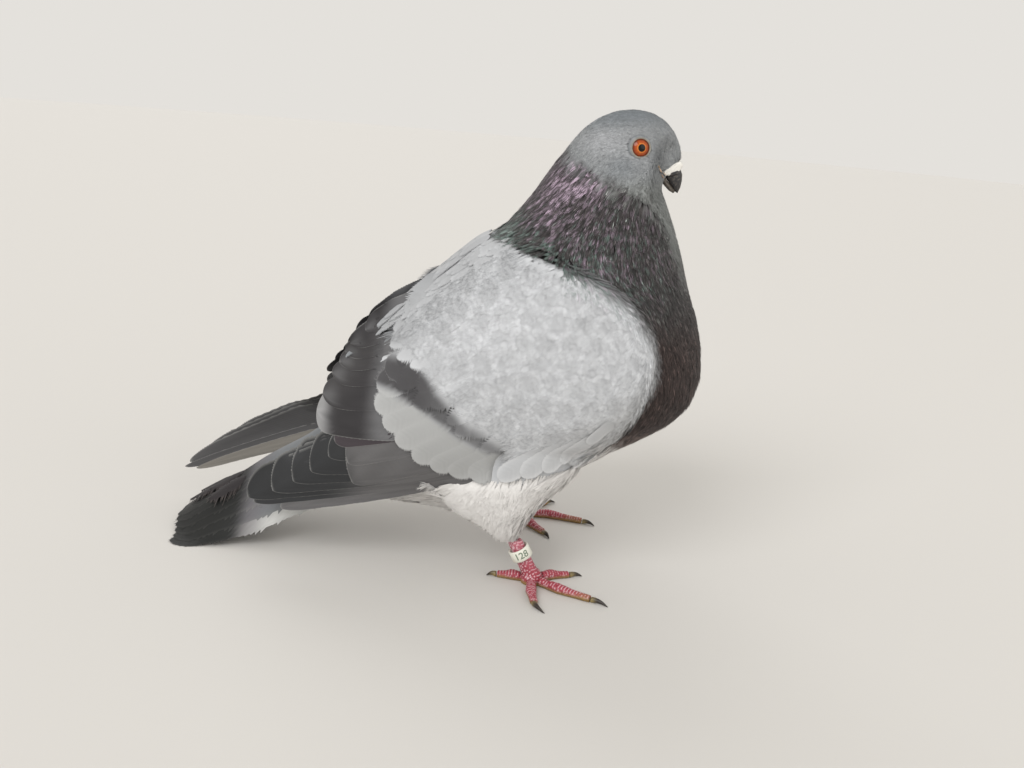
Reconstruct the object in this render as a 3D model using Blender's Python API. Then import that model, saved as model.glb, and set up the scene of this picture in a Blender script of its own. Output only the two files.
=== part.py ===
"""A standing domestic pigeon, life size, in separate solids: head, neck, trunk, tail, wings, legs, toes and bill.

Run with: blender --background --python part.py
The bird looks along +X, its left side is +Y and it stands on Z = 0. Tables are in millimetres, meshes in metres.
"""
import math

import bmesh
import bpy
import numpy as np
from mathutils import Matrix, Vector

MM = 0.001                 # metres in a millimetre
GAP = 0.3                  # clearance between neighbouring solids
RING_SIDES = 32            # points round a body section
SAMPLES_PER_STATION = 1.5  # body sections between two named stations

# Trunk, neck and head: sections from the rump to the bill's base, each through a point on the back and one on the belly.
# name: back x, back z, belly x, belly z, half width
BODY_STATIONS = {
    "rump": (-118, 84, -105, 28, 20),
    "loin": (-102, 112, -84, 24, 32),
    "vent": (-82, 135, -56, 23, 44),
    "flank": (-63, 156, -26, 27, 54),
    "belly": (-46, 174, 4, 42, 60),
    "keel": (-34, 189, 33, 63, 62),
    "breast": (-24, 202, 61, 79, 61),
    "shoulder": (-16, 212, 83, 95, 57),
    "crop": (-9, 224, 91, 118, 50),
    "lower_neck": (-2, 235, 86, 146, 41),
    "middle_neck": (5, 246, 77, 170, 33),
    "upper_neck": (14, 256, 69, 194, 26),
    "nape": (27, 263, 61, 212, 20.5),
    "crown": (42, 264.5, 56.5, 220, 17.8),
    "forehead": (54, 260, 56, 223.5, 15),
    "lore": (62, 251, 56, 226, 11),
    "bill_base": (66, 240, 56.5, 228, 6),
}
TRUNK_END = 7.2            # the trunk runs from the rump to here, counted in stations
NECK_END = 11.3            # the neck runs from there to here, and the head from here to the bill
SEAM = 0.012               # half the cut between two lengths of the body, in stations

# Wings: sections from the wrist at the front to the tip, each between an upper edge and a lower edge.
# upper x, upper z, upper y, lower x, lower z, lower y, outermost y, thickness
SHOULDER_SECTIONS = (
    (57, 146, 58, 56, 126, 57, 59.5, 5),
    (51, 161, 57, 53, 104, 53, 65, 9),
    (37, 174, 57, 45, 90, 50, 69, 12),
    (12, 184, 53, 30, 79, 50, 71.5, 14),
    (-13, 191, 39, 12, 72, 50, 72.5, 16),
    (-34, 194, 3, -9, 64, 51, 72.5, 17),
    (-54, 176, 2, -30, 57, 52, 72, 17),
    (-76, 156, 2, -52, 51, 52, 69, 16),
    (-96, 134, 2, -76, 46, 51, 65, 13),
    (-113, 115, 2, -98, 43, 49, 59, 9),
    (-127, 97, 3, -113, 40, 47, 53, 5),
)
RIGHT_TIP_SECTIONS = (     # this wing hangs a little, so its tip lies lower and further forward
    (-135, 75, 28, -131, 38, 45, 50, 3),
    (-147, 58, 36, -146, 36, 44, 46.5, 2.4),
    (-157, 47, 40, -157, 35, 43, 44, 1.8),
    (-162.5, 40, 41.5, -162.5, 35.5, 42.5, 42.6, 1.4),
)
LEFT_TIP_SECTIONS = (
    (-140, 78, 26, -138, 40, 45, 50, 3),
    (-163, 64, 34, -162, 36, 44, 46, 2.4),
    (-190, 47, 37, -188, 29, 42, 43, 2),
    (-211, 30, 38, -210, 22.5, 40, 40.6, 1.6),
    (-219, 23, 38.6, -219, 20.5, 39, 39.2, 1.4),
)
WING_ARC = math.radians(142)   # how far round its section curve a wing wraps, from the top
WING_ARC_POINTS = 11
EDGE_THICKNESS = 1.3           # thickness of a wing's upper and lower edges

# Tail: sections along its length. It is tilted about its length, so that its right side hangs to the floor.
# x and z of the middle of its upper side, half width, how far the right and the left side hang below the middle,
# thickness at the middle, and how far forward of the middle the right and the left side lie.
TAIL_SECTIONS = (
    (-108, 82, 20, 48, 26, 50, 0, 0),
    (-123, 74, 24, 53, 24, 44, 0, 0),
    (-140, 60, 28, 44, 20, 20, 0, 0),
    (-158, 48.5, 32, 42, 15, 8, 2, 0),
    (-176, 33.5, 36, 31, 9, 4, 7, 1),
    (-195, 19.5, 39, 18.5, 5, 3, 16, 2),
    (-209, 8.5, 40, 7.5, 2, 2.4, 25, 4),
    (-216, 2.4, 39, 1.2, 0, 1.7, 30, 7),
)
TAIL_ARC_POINTS = 13

# Legs. Feathered thigh sections: x, z, distance from the midline, half length, half width.
THIGH_SECTIONS = (
    (-10, 86, 40, 40, 22),
    (-16, 64, 42, 40, 20),
    (-22, 47, 45, 31, 15),
    (-18.5, 38, 46, 21, 12),
    (-14, 31, 46.5, 13, 9),
    (-12.5, 26, 46.5, 8.2, 6.8),
)
FOOT_CENTRES = {"right": (3, -46), "left": (-6, 54)}
ANKLE_HEIGHT = 27          # where the bare leg enters the feathers
ANKLE_SETBACK = 12         # how far behind the foot the leg enters the feathers
ANKLE_Y = {"right": -46.5, "left": 46.5}
TARSUS_HALF = (4.6, 3.9)   # fore-and-aft and sideways
FOOT_RADIUS = 6.2
FOOT_HEIGHT = 8.0

# Toes: heading and length of each of two lengths, then heading and length of the claw. Headings are degrees from +X.
TOES = {
    "right": {
        "inner": ((32, 13), (20, 11), (18, 8.5)),
        "middle": ((-36, 19), (-24, 19), (-30, 11)),
        "outer": ((-91, 16), (-82, 13), (-55, 11)),
        "hind": ((168, 12), (172, 8), (180, 6)),
    },
    "left": {
        "inner": ((-66, 19), (-54, 14), (-62, 8)),
        "middle": ((2, 20), (-14, 22), (-24, 9)),
        "outer": ((58, 16), (46, 13), (38, 9)),
        "hind": ((182, 12), (176, 8), (180, 6)),
    },
}
TOE_BASE = (3.1, 6.2)      # half width and height where a toe leaves the foot
TOE_TIP = (2.5, 4.6)       # half width and height at the claw
TOE_SIDES = 9              # points round a section of a toe or claw
TOE_JOINT_SWELL = 0.10     # how much thicker a toe is at its joints, and thinner between them
TOE_SECTIONS = 9
TOE_FLAT_SHARE = 0.09      # how much of a toe's height its flat sole takes off
CLAW_LIFT = 0.8            # how high the middle of a claw arches off the floor
CLAW_BASE = (1.7, 3.6)     # half width and height of a claw at its root

# Leg ring, on the right leg.
RING_OUTER, RING_INNER, RING_LENGTH = 6.0, 5.2, 6.6
RING_AT = 0.64             # how far up the bare leg it hangs, from foot to feathers

# Bill, in a frame with its origin at the corner of the mouth: distances run along the mouth line and up from it.
MOUTH_CORNER = (53, 234)
MOUTH_SLOPE = math.radians(47)
BILL_TIP = 17.7
CERE_END = 8.7
CERE_WIDTH = 4.7
HORN_DEPTH, HORN_WIDTH = 9.3, 3.5
LOWER_DEPTH, LOWER_WIDTH, LOWER_TIP = 3.1, 3.1, 16.4
CHIN_BULGE = 0.4           # how much further along the lower bill starts, for each unit below the mouth line
BILL_SIDES = 9             # points over a bill section's arch

EYE_CENTRE = (42.3, 13.0, 245)
EYE_RADIUS = 6.3

COLOURS = {
    "head_feather": ((0.20, 0.22, 0.24), 0.75),
    "neck_feather": ((0.055, 0.055, 0.065), 0.55),
    "body_feather": ((0.28, 0.28, 0.30), 0.75),
    "belly_feather": ((0.62, 0.60, 0.58), 0.85),
    "wing_feather": ((0.42, 0.42, 0.44), 0.70),
    "tail_feather": ((0.06, 0.065, 0.075), 0.65),
    "leg_scale": ((0.45, 0.10, 0.12), 0.50),
    "claw_horn": ((0.06, 0.045, 0.035), 0.40),
    "bill_horn": ((0.05, 0.045, 0.045), 0.40),
    "cere_skin": ((0.80, 0.77, 0.74), 0.70),
    "eye_iris": ((0.60, 0.16, 0.03), 0.10),
    "ring_plastic": ((0.75, 0.74, 0.68), 0.40),
}


def clear_scene():
    for obj in list(bpy.data.objects):
        bpy.data.objects.remove(obj, do_unlink=True)


def new_collection(name):
    collection = bpy.data.collections.new(name)
    bpy.context.scene.collection.children.link(collection)
    return collection


def make_material(name):
    colour, roughness = COLOURS[name]
    material = bpy.data.materials.new(name)
    material.use_nodes = True
    shader = material.node_tree.nodes["Principled BSDF"]
    shader.inputs["Base Color"].default_value = (*colour, 1.0)
    shader.inputs["Roughness"].default_value = roughness
    shader.inputs["Metallic"].default_value = 0.0
    return material


clear_scene()
parts = new_collection("pigeon")
cutters = new_collection("cutters")
root = bpy.data.objects.new("root_empty", None)
parts.objects.link(root)


def add_object(name, bm, material_name=None, smooth_angle=50):
    """Turn a bmesh into an object under the root; without a material it is a hidden cutter."""
    bmesh.ops.recalc_face_normals(bm, faces=bm.faces)
    mesh = bpy.data.meshes.new(name)
    bm.to_mesh(mesh)
    bm.free()
    obj = bpy.data.objects.new(name, mesh)
    obj.parent = root
    if material_name is None:
        obj.hide_render = True
        obj.display_type = "WIRE"
        cutters.objects.link(obj)
        return obj
    mesh.materials.append(bpy.data.materials.get(material_name) or make_material(material_name))
    mesh.shade_smooth()
    mesh.set_sharp_from_angle(angle=math.radians(smooth_angle))
    parts.objects.link(obj)
    return obj


def loft(rings):
    """Join rings of points, given in millimetres, into one closed skin with a flat cap at each end."""
    bm = bmesh.new()
    rows = [[bm.verts.new(Vector(point) * MM) for point in ring] for ring in rings]
    count = len(rows[0])
    for lower, upper in zip(rows, rows[1:]):
        for i in range(count):
            j = (i + 1) % count
            bm.faces.new((lower[i], lower[j], upper[j], upper[i]))
    bm.faces.new(rows[0])
    bm.faces.new(rows[-1])
    return bm


def between(rows, t):
    """The row at t, counted from 0, on a smooth curve through all the rows."""
    rows = np.asarray(rows, float)
    last = len(rows) - 1
    t = min(max(t, 0.0), float(last))
    i = min(int(t), last - 1)
    u = t - i
    before, start, end, after = (rows[min(max(k, 0), last)] for k in (i - 1, i, i + 1, i + 2))
    if i == 0:
        before = 2 * start - end
    if i + 1 == last:
        after = 2 * end - start
    return 0.5 * (2 * start + (end - before) * u + (2 * before - 5 * start + 4 * end - after) * u ** 2
                  + (3 * start - before - 3 * end + after) * u ** 3)


def steps(start, end, count):
    return [start + (end - start) * i / (count - 1) for i in range(count)]


def cut(obj, *tools):
    """Subtract each tool from the object."""
    for tool in tools:
        boolean = obj.modifiers.new("cut_" + tool.name, "BOOLEAN")
        boolean.operation = "DIFFERENCE"
        boolean.solver = "EXACT"
        boolean.object = tool


def ellipsoid(centre, radii, segments=24, rings=14):
    bm = bmesh.new()
    place = Matrix.Translation(Vector(centre) * MM) @ Matrix.Diagonal((*(Vector(radii) * MM), 1.0))
    bmesh.ops.create_uvsphere(bm, u_segments=segments, v_segments=rings, radius=1.0, matrix=place)
    return bm


# ---------------------------------------------------------------- trunk, neck and head

def body_ring(t, grow=0.0):
    """One section of the body: an ellipse through its back point and belly point."""
    back_x, back_z, belly_x, belly_z, half_width = between(list(BODY_STATIONS.values()), t)
    centre = np.array([(back_x + belly_x) / 2, 0.0, (back_z + belly_z) / 2])
    up = np.array([back_x, 0.0, back_z]) - centre
    up *= 1 + grow / np.linalg.norm(up)
    side = np.array([0.0, half_width + grow, 0.0])
    angles = np.linspace(0, 2 * math.pi, RING_SIDES, endpoint=False)
    return [tuple(centre + up * math.cos(a) + side * math.sin(a)) for a in angles]


def body_length(start, end, grow=0.0):
    count = max(3, round((end - start) * SAMPLES_PER_STATION) + 1)
    return loft([body_ring(t, grow) for t in steps(start, end, count)])


LAST_STATION = len(BODY_STATIONS) - 1
trunk = add_object("trunk", body_length(0, TRUNK_END - SEAM), "body_feather")
neck = add_object("neck", body_length(TRUNK_END + SEAM, NECK_END - SEAM), "neck_feather")
head = add_object("head", body_length(NECK_END + SEAM, LAST_STATION), "head_feather")
body_cutter = add_object("body_cutter", body_length(0, LAST_STATION, GAP + 0.1))


# ---------------------------------------------------------------- eyes

for side, sign in (("right", -1), ("left", 1)):
    centre = (EYE_CENTRE[0], sign * EYE_CENTRE[1], EYE_CENTRE[2])
    add_object("eye_" + side, ellipsoid(centre, [EYE_RADIUS] * 3, 16, 10), "eye_iris")
    socket = add_object("socket_" + side, ellipsoid(centre, [EYE_RADIUS + GAP + 0.1] * 3, 16, 10))
    cut(head, socket)


# ---------------------------------------------------------------- bill

ALONG = np.array([math.cos(MOUTH_SLOPE), 0.0, -math.sin(MOUTH_SLOPE)])
UPWARD = np.array([math.sin(MOUTH_SLOPE), 0.0, math.cos(MOUTH_SLOPE)])
MOUTH = np.array([MOUTH_CORNER[0], 0.0, MOUTH_CORNER[1]])


def bill_point(along, up, y):
    return tuple(MOUTH + ALONG * along + UPWARD * up + np.array([0.0, y, 0.0]))


def face_distance(up):
    """How far along the mouth line the feathered face ends, at a height over that line."""
    back_x, back_z, belly_x, belly_z, _ = BODY_STATIONS["bill_base"]
    top = np.array([back_x, 0.0, back_z]) - MOUTH
    low = np.array([belly_x, 0.0, belly_z]) - MOUTH
    share = (up - low @ UPWARD) / ((top - low) @ UPWARD)
    return low @ ALONG + share * ((top - low) @ ALONG)


def arch(height, width, base):
    """Points of an arch over the mouth line, as (up, y): from the right foot over the top to the left foot."""
    angles = np.linspace(math.pi, 0, BILL_SIDES)
    return [(base + (height - base) * math.sin(a) ** 0.9, width * math.cos(a)) for a in angles]


def cere_ring(share):
    """From the face at share 0 to the horn at share 1."""
    height = 12.0 + (HORN_DEPTH + 0.5 - 12.0) * share + 0.5 * math.sin(math.pi * share)
    width = CERE_WIDTH + (HORN_WIDTH + 0.35 - CERE_WIDTH) * share ** 2
    ring = []
    for up, y in arch(height, width, GAP / 2):
        start = face_distance(up) + GAP
        ring.append(bill_point(start + (CERE_END - 0.1 * up / HORN_DEPTH - start) * share, up, y))
    return ring


def horn_ring(share):
    """From the cere at share 0 to the hooked tip at share 1."""
    along = CERE_END + GAP + (BILL_TIP - CERE_END - GAP) * share
    height = HORN_DEPTH * (1 - share ** 2.1) ** (1 / 1.5)
    width = HORN_WIDTH * (1 - share ** 2.4) ** 0.75
    return [bill_point(along, up, y) for up, y in arch(height, width, GAP / 2)]


def lower_ring(share):
    """The lower bill, from the chin at share 0 to its tip at share 1, as an arch turned over."""
    depth = LOWER_DEPTH * (1 - share ** 2.4) ** 0.7
    width = LOWER_WIDTH * (1 - share ** 2.4) ** 0.75
    ring = []
    for up, y in arch(depth, width, GAP / 2):
        start = face_distance(-up) + GAP + CHIN_BULGE * up
        ring.append(bill_point(start + (LOWER_TIP - start) * share, -up, y))
    return ring


LAST_SHARE = 0.985         # just short of a point, so that each bill ends in a tiny flat
add_object("cere", loft([cere_ring(s) for s in steps(0, 1, 6)]), "cere_skin")
add_object("bill_upper", loft([horn_ring(s) for s in steps(0, LAST_SHARE, 10)]), "bill_horn")
bill_lower = add_object("bill_lower", loft([lower_ring(s) for s in steps(0, LAST_SHARE, 8)]), "bill_horn")
cut(bill_lower, body_cutter)


# ---------------------------------------------------------------- wings

def wing_ring(row, sign):
    """One section of a wing: an outer arc from its upper edge to its lower edge, and an inner arc back."""
    top_x, top_z, top_y, low_x, low_z, low_y, outermost, thickness = row
    chord = np.array([low_x - top_x, 0.0, low_z - top_z])
    top = np.array([top_x, 0.0, top_z])
    end_share = 1 - math.cos(WING_ARC)
    outer = []
    for angle in np.linspace(0, WING_ARC, WING_ARC_POINTS):
        share = (1 - math.cos(angle)) / end_share
        rise = math.sin(angle)
        if angle < math.pi / 2:
            y = top_y + (outermost - top_y) * rise
        else:
            low_rise = math.sin(WING_ARC)
            y = low_y + (outermost - low_y) * (rise - low_rise) / (1 - low_rise)
        outer.append(top + chord * share + np.array([0.0, sign * y, 0.0]))
    inner = []
    for i, point in enumerate(outer):
        ahead, behind = outer[min(i + 1, len(outer) - 1)], outer[max(i - 1, 0)]
        run = (ahead - behind) / np.linalg.norm(ahead - behind)
        run_down, run_out = run @ chord / np.linalg.norm(chord), run[1] * sign
        inward = chord / np.linalg.norm(chord) * run_out + np.array([0.0, -sign * run_down, 0.0])
        share = i / (len(outer) - 1)
        depth = EDGE_THICKNESS + (thickness - EDGE_THICKNESS) * math.sin(math.pi * share) ** 0.5
        inner.append(point + inward * min(depth, thickness))
    ring = outer + inner[::-1]
    if sign > 0:
        ring.reverse()
    return [tuple(point) for point in ring]


def make_wing(side, sign, tip_sections):
    rows = SHOULDER_SECTIONS + tip_sections
    count = len(rows) + 4
    rings = [wing_ring(between(rows, t), sign) for t in steps(0, len(rows) - 1, count)]
    return add_object("wing_" + side, loft(rings), "wing_feather")


wings = {
    "right": make_wing("right", -1, RIGHT_TIP_SECTIONS),
    "left": make_wing("left", 1, LEFT_TIP_SECTIONS),
}


# ---------------------------------------------------------------- tail

def tail_ring(row, grow=0.0):
    """One section of the tail: an arched upper side and a lower side that nowhere dips below the floor."""
    x, z, half_width, right_hang, left_hang, thickness, right_lead, left_lead = row
    half_width += grow
    upper, lower = [], []
    for across in np.linspace(-1, 1, TAIL_ARC_POINTS):
        lead = (right_lead if across < 0 else left_lead) * across ** 2
        hang = (right_hang if across < 0 else left_hang) * abs(across) ** 1.7
        top = max(z - hang + grow, 1.2)
        low = max(top - grow - 1.2 - (thickness - 1.2) * (1 - across ** 4) - grow, 0.0)
        upper.append((x + lead, half_width * across, top))
        lower.append((x + lead, half_width * across, low))
    return upper + lower[::-1]


def tail_mesh(grow=0.0):
    count = len(TAIL_SECTIONS) + 4
    return loft([tail_ring(between(TAIL_SECTIONS, t), grow) for t in steps(0, len(TAIL_SECTIONS) - 1, count)])


tail = add_object("tail", tail_mesh(), "tail_feather")
cut(tail, body_cutter)
tail_cutter = add_object("tail_cutter", tail_mesh(GAP + 0.1))


# ---------------------------------------------------------------- legs

def disc(centre, half_x, half_y, sides=16):
    """A level ellipse of points."""
    angles = np.linspace(0, 2 * math.pi, sides, endpoint=False)
    return [(centre[0] + half_x * math.cos(a), centre[1] + half_y * math.sin(a), centre[2]) for a in angles]


def thigh_mesh(sign, grow=0.0):
    rows = [(x, sign * away, z, half_x + grow, half_y + grow) for x, z, away, half_x, half_y in THIGH_SECTIONS]
    rings = []
    for t in steps(0, len(rows) - 1, len(rows) + 3):
        x, y, z, half_x, half_y = between(rows, t)
        rings.append(disc((x, y, z), half_x, half_y, 22))
    return loft(rings)


def leg_axis(side):
    """The bare leg's line, from the middle of the foot up to the feathers."""
    foot_x, foot_y = FOOT_CENTRES[side]
    low = np.array([foot_x, foot_y, FOOT_HEIGHT / 2])
    high = np.array([foot_x - ANKLE_SETBACK, ANKLE_Y[side], ANKLE_HEIGHT - GAP - 1.0])
    return low, high


def make_tarsus(side):
    """The bare leg and the pad that the toes grow from, joined into one solid."""
    low, high = leg_axis(side)
    rings = []
    for share in steps(0, 1, 5):
        middle = low + (high - low) * share
        swell = 1 + 0.18 * (1 - share) ** 2
        rings.append(disc(middle, TARSUS_HALF[0] * swell, TARSUS_HALF[1] * swell))
    leg = add_object("tarsus_" + side, loft(rings), "leg_scale")
    foot_x, foot_y = FOOT_CENTRES[side]
    pad_rings = []
    for share in steps(0, 1, 4):
        radius = FOOT_RADIUS * (1 - 0.35 * share ** 3)
        pad_rings.append(disc((foot_x, foot_y, FOOT_HEIGHT * share), radius, radius))
    pad = add_object("foot_pad_" + side, loft(pad_rings))
    union = leg.modifiers.new("foot_pad", "BOOLEAN")
    union.operation = "UNION"
    union.solver = "EXACT"
    union.object = pad
    return leg


def toe_section(centre, heading, half_width, height, lift=0.0):
    """An upright section of a toe: flat below, round above."""
    across = np.array([-math.sin(heading), math.cos(heading)])
    section = []
    for angle in np.linspace(math.radians(-55), math.radians(235), TOE_SIDES):
        reach = half_width * math.cos(angle)
        rise = height / 2 + height / 2 * math.sin(angle)
        x, y = centre + across * reach
        section.append((x, y, max(rise - TOE_FLAT_SHARE * height, 0) + lift))
    return section


def make_toe(side, name, lengths):
    (first_heading, first_length), (next_heading, next_length), (claw_heading, claw_length) = lengths
    centre = np.array(FOOT_CENTRES[side], float)
    first, second, third = (math.radians(a) for a in (first_heading, next_heading, claw_heading))
    knuckle = centre + first_length * np.array([math.cos(first), math.sin(first)])
    end = knuckle + next_length * np.array([math.cos(second), math.sin(second)])
    start_share = (FOOT_RADIUS + GAP + 0.1) / first_length
    rings = []
    for share in steps(0, 1, TOE_SECTIONS):
        path = start_share + (2 - start_share) * share
        if path < 1:
            point = centre + (knuckle - centre) * path
        else:
            point = knuckle + (end - knuckle) * (path - 1)
        turn = min(max((path - 0.7) / 0.6, 0.0), 1.0)
        heading = first + (second - first) * turn
        swell = 1 + TOE_JOINT_SWELL * math.cos(2 * math.pi * min(path, 1.5))
        half_width = (TOE_BASE[0] + (TOE_TIP[0] - TOE_BASE[0]) * share) * swell
        height = (TOE_BASE[1] + (TOE_TIP[1] - TOE_BASE[1]) * share) * swell
        rings.append(toe_section(point, heading, half_width, height))
    add_object(f"toe_{side}_{name}", loft(rings), "leg_scale")

    claw_start = end + (GAP + 0.3) * np.array([math.cos(second), math.sin(second)])
    claw_rings = []
    for share in steps(0, 0.96, 6):
        heading = second + (third - second) * share
        point = claw_start + claw_length * share * np.array([math.cos(heading), math.sin(heading)])
        half_width = CLAW_BASE[0] * (1 - share) ** 0.7
        height = CLAW_BASE[1] * (1 - share) ** 0.6
        lift = CLAW_LIFT * math.sin(math.pi * min(share * 1.1, 1.0))
        claw_rings.append(toe_section(point, heading, half_width, height, lift))
    add_object(f"claw_{side}_{name}", loft(claw_rings), "claw_horn")


for side, sign in (("right", -1), ("left", 1)):
    thigh = add_object("thigh_" + side, thigh_mesh(sign), "belly_feather")
    cut(thigh, body_cutter)
    thigh_cutter = add_object("thigh_cutter_" + side, thigh_mesh(sign, GAP + 0.1))
    cut(wings[side], body_cutter, tail_cutter, thigh_cutter)
    make_tarsus(side)
    for toe_name, lengths in TOES[side].items():
        make_toe(side, toe_name, lengths)


# ---------------------------------------------------------------- leg ring

low, high = leg_axis("right")
ring_turn = Vector((0, 0, 1)).rotation_difference(Vector(high - low)).to_matrix().to_4x4()
ring_place = Matrix.Translation(Vector(low + (high - low) * RING_AT) * MM) @ ring_turn


def cylinder(radius, length):
    bm = bmesh.new()
    bmesh.ops.create_cone(bm, cap_ends=True, segments=32, radius1=radius * MM, radius2=radius * MM,
                          depth=length * MM, matrix=ring_place)
    return bm


leg_ring = add_object("leg_ring", cylinder(RING_OUTER, RING_LENGTH), "ring_plastic")
cut(leg_ring, add_object("leg_ring_bore", cylinder(RING_INNER, RING_LENGTH + 2)))


# ---------------------------------------------------------------- put the middle of the bird's box over the origin

bpy.context.view_layer.update()
graph = bpy.context.evaluated_depsgraph_get()
corners = []
for obj in parts.objects:
    if obj.type == "MESH":
        solid = obj.evaluated_get(graph)
        corners += [solid.matrix_world @ vertex.co for vertex in solid.data.vertices]
points = np.array(corners)
lowest, highest = points.min(axis=0), points.max(axis=0)
root.location = (-(lowest[0] + highest[0]) / 2, -(lowest[1] + highest[1]) / 2, -lowest[2])
print("size in mm:", [round(float(v) / MM, 1) for v in highest - lowest])
print("root moved by mm:", [round(v / MM, 2) for v in root.location])
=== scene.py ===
# %% [markdown]
# # A standing pigeon in feathers
#
# The solid model gives the bird's true outline: every length of the body, the wings, the tail, the legs and
# the bill. Here it gets its looks. One smooth skin is drawn inside those solids, and every feather is then
# laid over it as real mesh, in the order in which they grow: short ones on the face, long loose ones on the
# neck, rows of round ones on the wing, and the long flight feathers last.

# %% Load the solid model
import math

import bmesh
import bpy
import numpy as np
from mathutils import Matrix, Vector
from mathutils.bvhtree import BVHTree
from mathutils.kdtree import KDTree


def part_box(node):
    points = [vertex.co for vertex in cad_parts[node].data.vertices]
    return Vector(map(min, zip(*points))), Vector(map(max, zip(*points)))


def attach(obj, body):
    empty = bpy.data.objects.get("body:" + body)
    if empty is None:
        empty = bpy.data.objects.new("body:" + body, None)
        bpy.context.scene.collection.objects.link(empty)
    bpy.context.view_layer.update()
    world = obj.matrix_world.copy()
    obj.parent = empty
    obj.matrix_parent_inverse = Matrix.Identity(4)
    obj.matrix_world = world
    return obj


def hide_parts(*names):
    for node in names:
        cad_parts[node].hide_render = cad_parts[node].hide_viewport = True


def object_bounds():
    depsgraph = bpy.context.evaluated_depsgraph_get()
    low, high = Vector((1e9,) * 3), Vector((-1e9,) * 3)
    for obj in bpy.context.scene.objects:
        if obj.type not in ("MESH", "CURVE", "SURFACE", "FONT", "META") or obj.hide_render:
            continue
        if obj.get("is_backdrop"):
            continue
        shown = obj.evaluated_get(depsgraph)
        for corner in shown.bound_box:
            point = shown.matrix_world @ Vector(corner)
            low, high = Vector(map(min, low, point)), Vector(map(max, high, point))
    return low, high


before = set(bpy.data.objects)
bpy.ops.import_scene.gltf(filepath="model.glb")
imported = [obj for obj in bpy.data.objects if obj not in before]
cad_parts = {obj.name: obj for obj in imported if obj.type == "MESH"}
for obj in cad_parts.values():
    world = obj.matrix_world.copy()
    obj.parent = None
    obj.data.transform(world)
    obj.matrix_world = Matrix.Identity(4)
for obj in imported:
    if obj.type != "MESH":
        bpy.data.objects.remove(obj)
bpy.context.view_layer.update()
MM = 0.001

# %% [markdown]
# Sizes are easier to read when they are counted from one place on the bird: a point between its feet. The
# solids were drawn from there in millimetres and then moved as a whole. The right eye says by how much.

# %% Places on the bird
eye_low, eye_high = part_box("eye_right")
EYE_DRAWN_AT = Vector((42.3, -13.0, 245.0))
SHIFT = np.array((eye_low + eye_high) / 2 - EYE_DRAWN_AT * MM)
SIDES = (("right", -1), ("left", 1))      # the sides of the bird and their signs along y


def place(points):
    """Millimetres from between the feet, as metres in the model's frame."""
    return np.asarray(points, float) * MM + SHIFT


def read_mm(points):
    """Metres in the model's frame, as millimetres from between the feet."""
    return (np.asarray(points, float) - SHIFT) / MM


print("shift, mm:", np.round(SHIFT / MM, 2))

# %% [markdown]
# Colours are easiest to choose by how they look, from 0 to 255. The renderer counts light: a mid grey looks
# half as bright as white but gives back only a fifth of the light. This turns the one into the other.


# %% Mixing colours
def paint(red, green, blue):
    """A colour as it looks, as the light it gives back."""
    seen = np.array([red, green, blue], float) / 255
    return np.where(seen <= 0.04045, seen / 12.92, ((seen + 0.055) / 1.055) ** 2.4)


def blend(first, second, share):
    """Mix two colours or rows of colours by a share between 0 and 1."""
    share = np.asarray(share, float)[..., None]
    return np.asarray(first) * (1 - share) + np.asarray(second) * share


def full_turn(count):
    """Evenly spaced angles, once round."""
    return np.linspace(0, 2 * math.pi, count, endpoint=False)


def ramp(value, start, end):
    """0 before start, 1 after end, and a soft step in between."""
    t = np.clip((np.asarray(value, float) - start) / (end - start), 0, 1)
    return t * t * (3 - 2 * t)


def matt(tones):
    """Add a fourth number to colours: no glint."""
    return np.concatenate([tones, np.zeros(tones.shape[:-1] + (1,))], axis=-1)


def paint_points(mesh, tones):
    """Store the colour and glint of a mesh's points, where the materials look for them."""
    tones = np.clip(tones if tones.shape[1] == 4 else matt(tones), 0, 1)
    layer = mesh.attributes.new("plumage", "FLOAT_COLOR", "POINT")
    layer.data.foreach_set("color", tones.astype(np.float32).ravel())


rng = np.random.default_rng(7)
print("mid grey gives back:", np.round(paint(128, 128, 128), 3))

# %% [markdown]
# ## Studio
#
# The bird stands on a plain pale floor. The camera is close, a little above the bird's back and tipped down
# by fifteen degrees, and held slightly askew. The light is soft: one large lamp beside the camera, a weaker
# one on the other side, a third behind for the outline, and a pale sky all round.

# %% Camera
def add_object(name, data):
    """Put a mesh, a lamp or a camera into the scene."""
    obj = bpy.data.objects.new(name, data)
    bpy.context.scene.collection.objects.link(obj)
    return obj


CAMERA_AT = (-17.5, -622.7, 270.0)
CAMERA_TILT = math.radians(15.0)
CAMERA_ROLL = math.radians(4.9)
camera_data = bpy.data.cameras.new("camera")
camera_data.sensor_width = 36.0
camera_data.lens = 38.671875
camera_data.clip_start = 0.01
camera = add_object("camera", camera_data)
forward = Vector((0, math.cos(CAMERA_TILT), -math.sin(CAMERA_TILT)))
level = Vector((1, 0, 0))
down = Vector((0, -math.sin(CAMERA_TILT), -math.cos(CAMERA_TILT)))
across = level * math.cos(CAMERA_ROLL) - down * math.sin(CAMERA_ROLL)
upward = -(level * math.sin(CAMERA_ROLL) + down * math.cos(CAMERA_ROLL))
camera_frame = Matrix((across, upward, -forward)).transposed().to_4x4()
camera_frame.translation = Vector(place(CAMERA_AT))
camera.matrix_world = camera_frame
bpy.context.scene.camera = camera
print("lens, mm:", round(camera_data.lens, 2))

# %% [markdown]
# A lamp of the sun's kind shines the same on the whole floor, so the pale ground has no bright patch. Its
# angle is the softness of its shadows: half a radian and more blurs them like a large window would.


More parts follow.
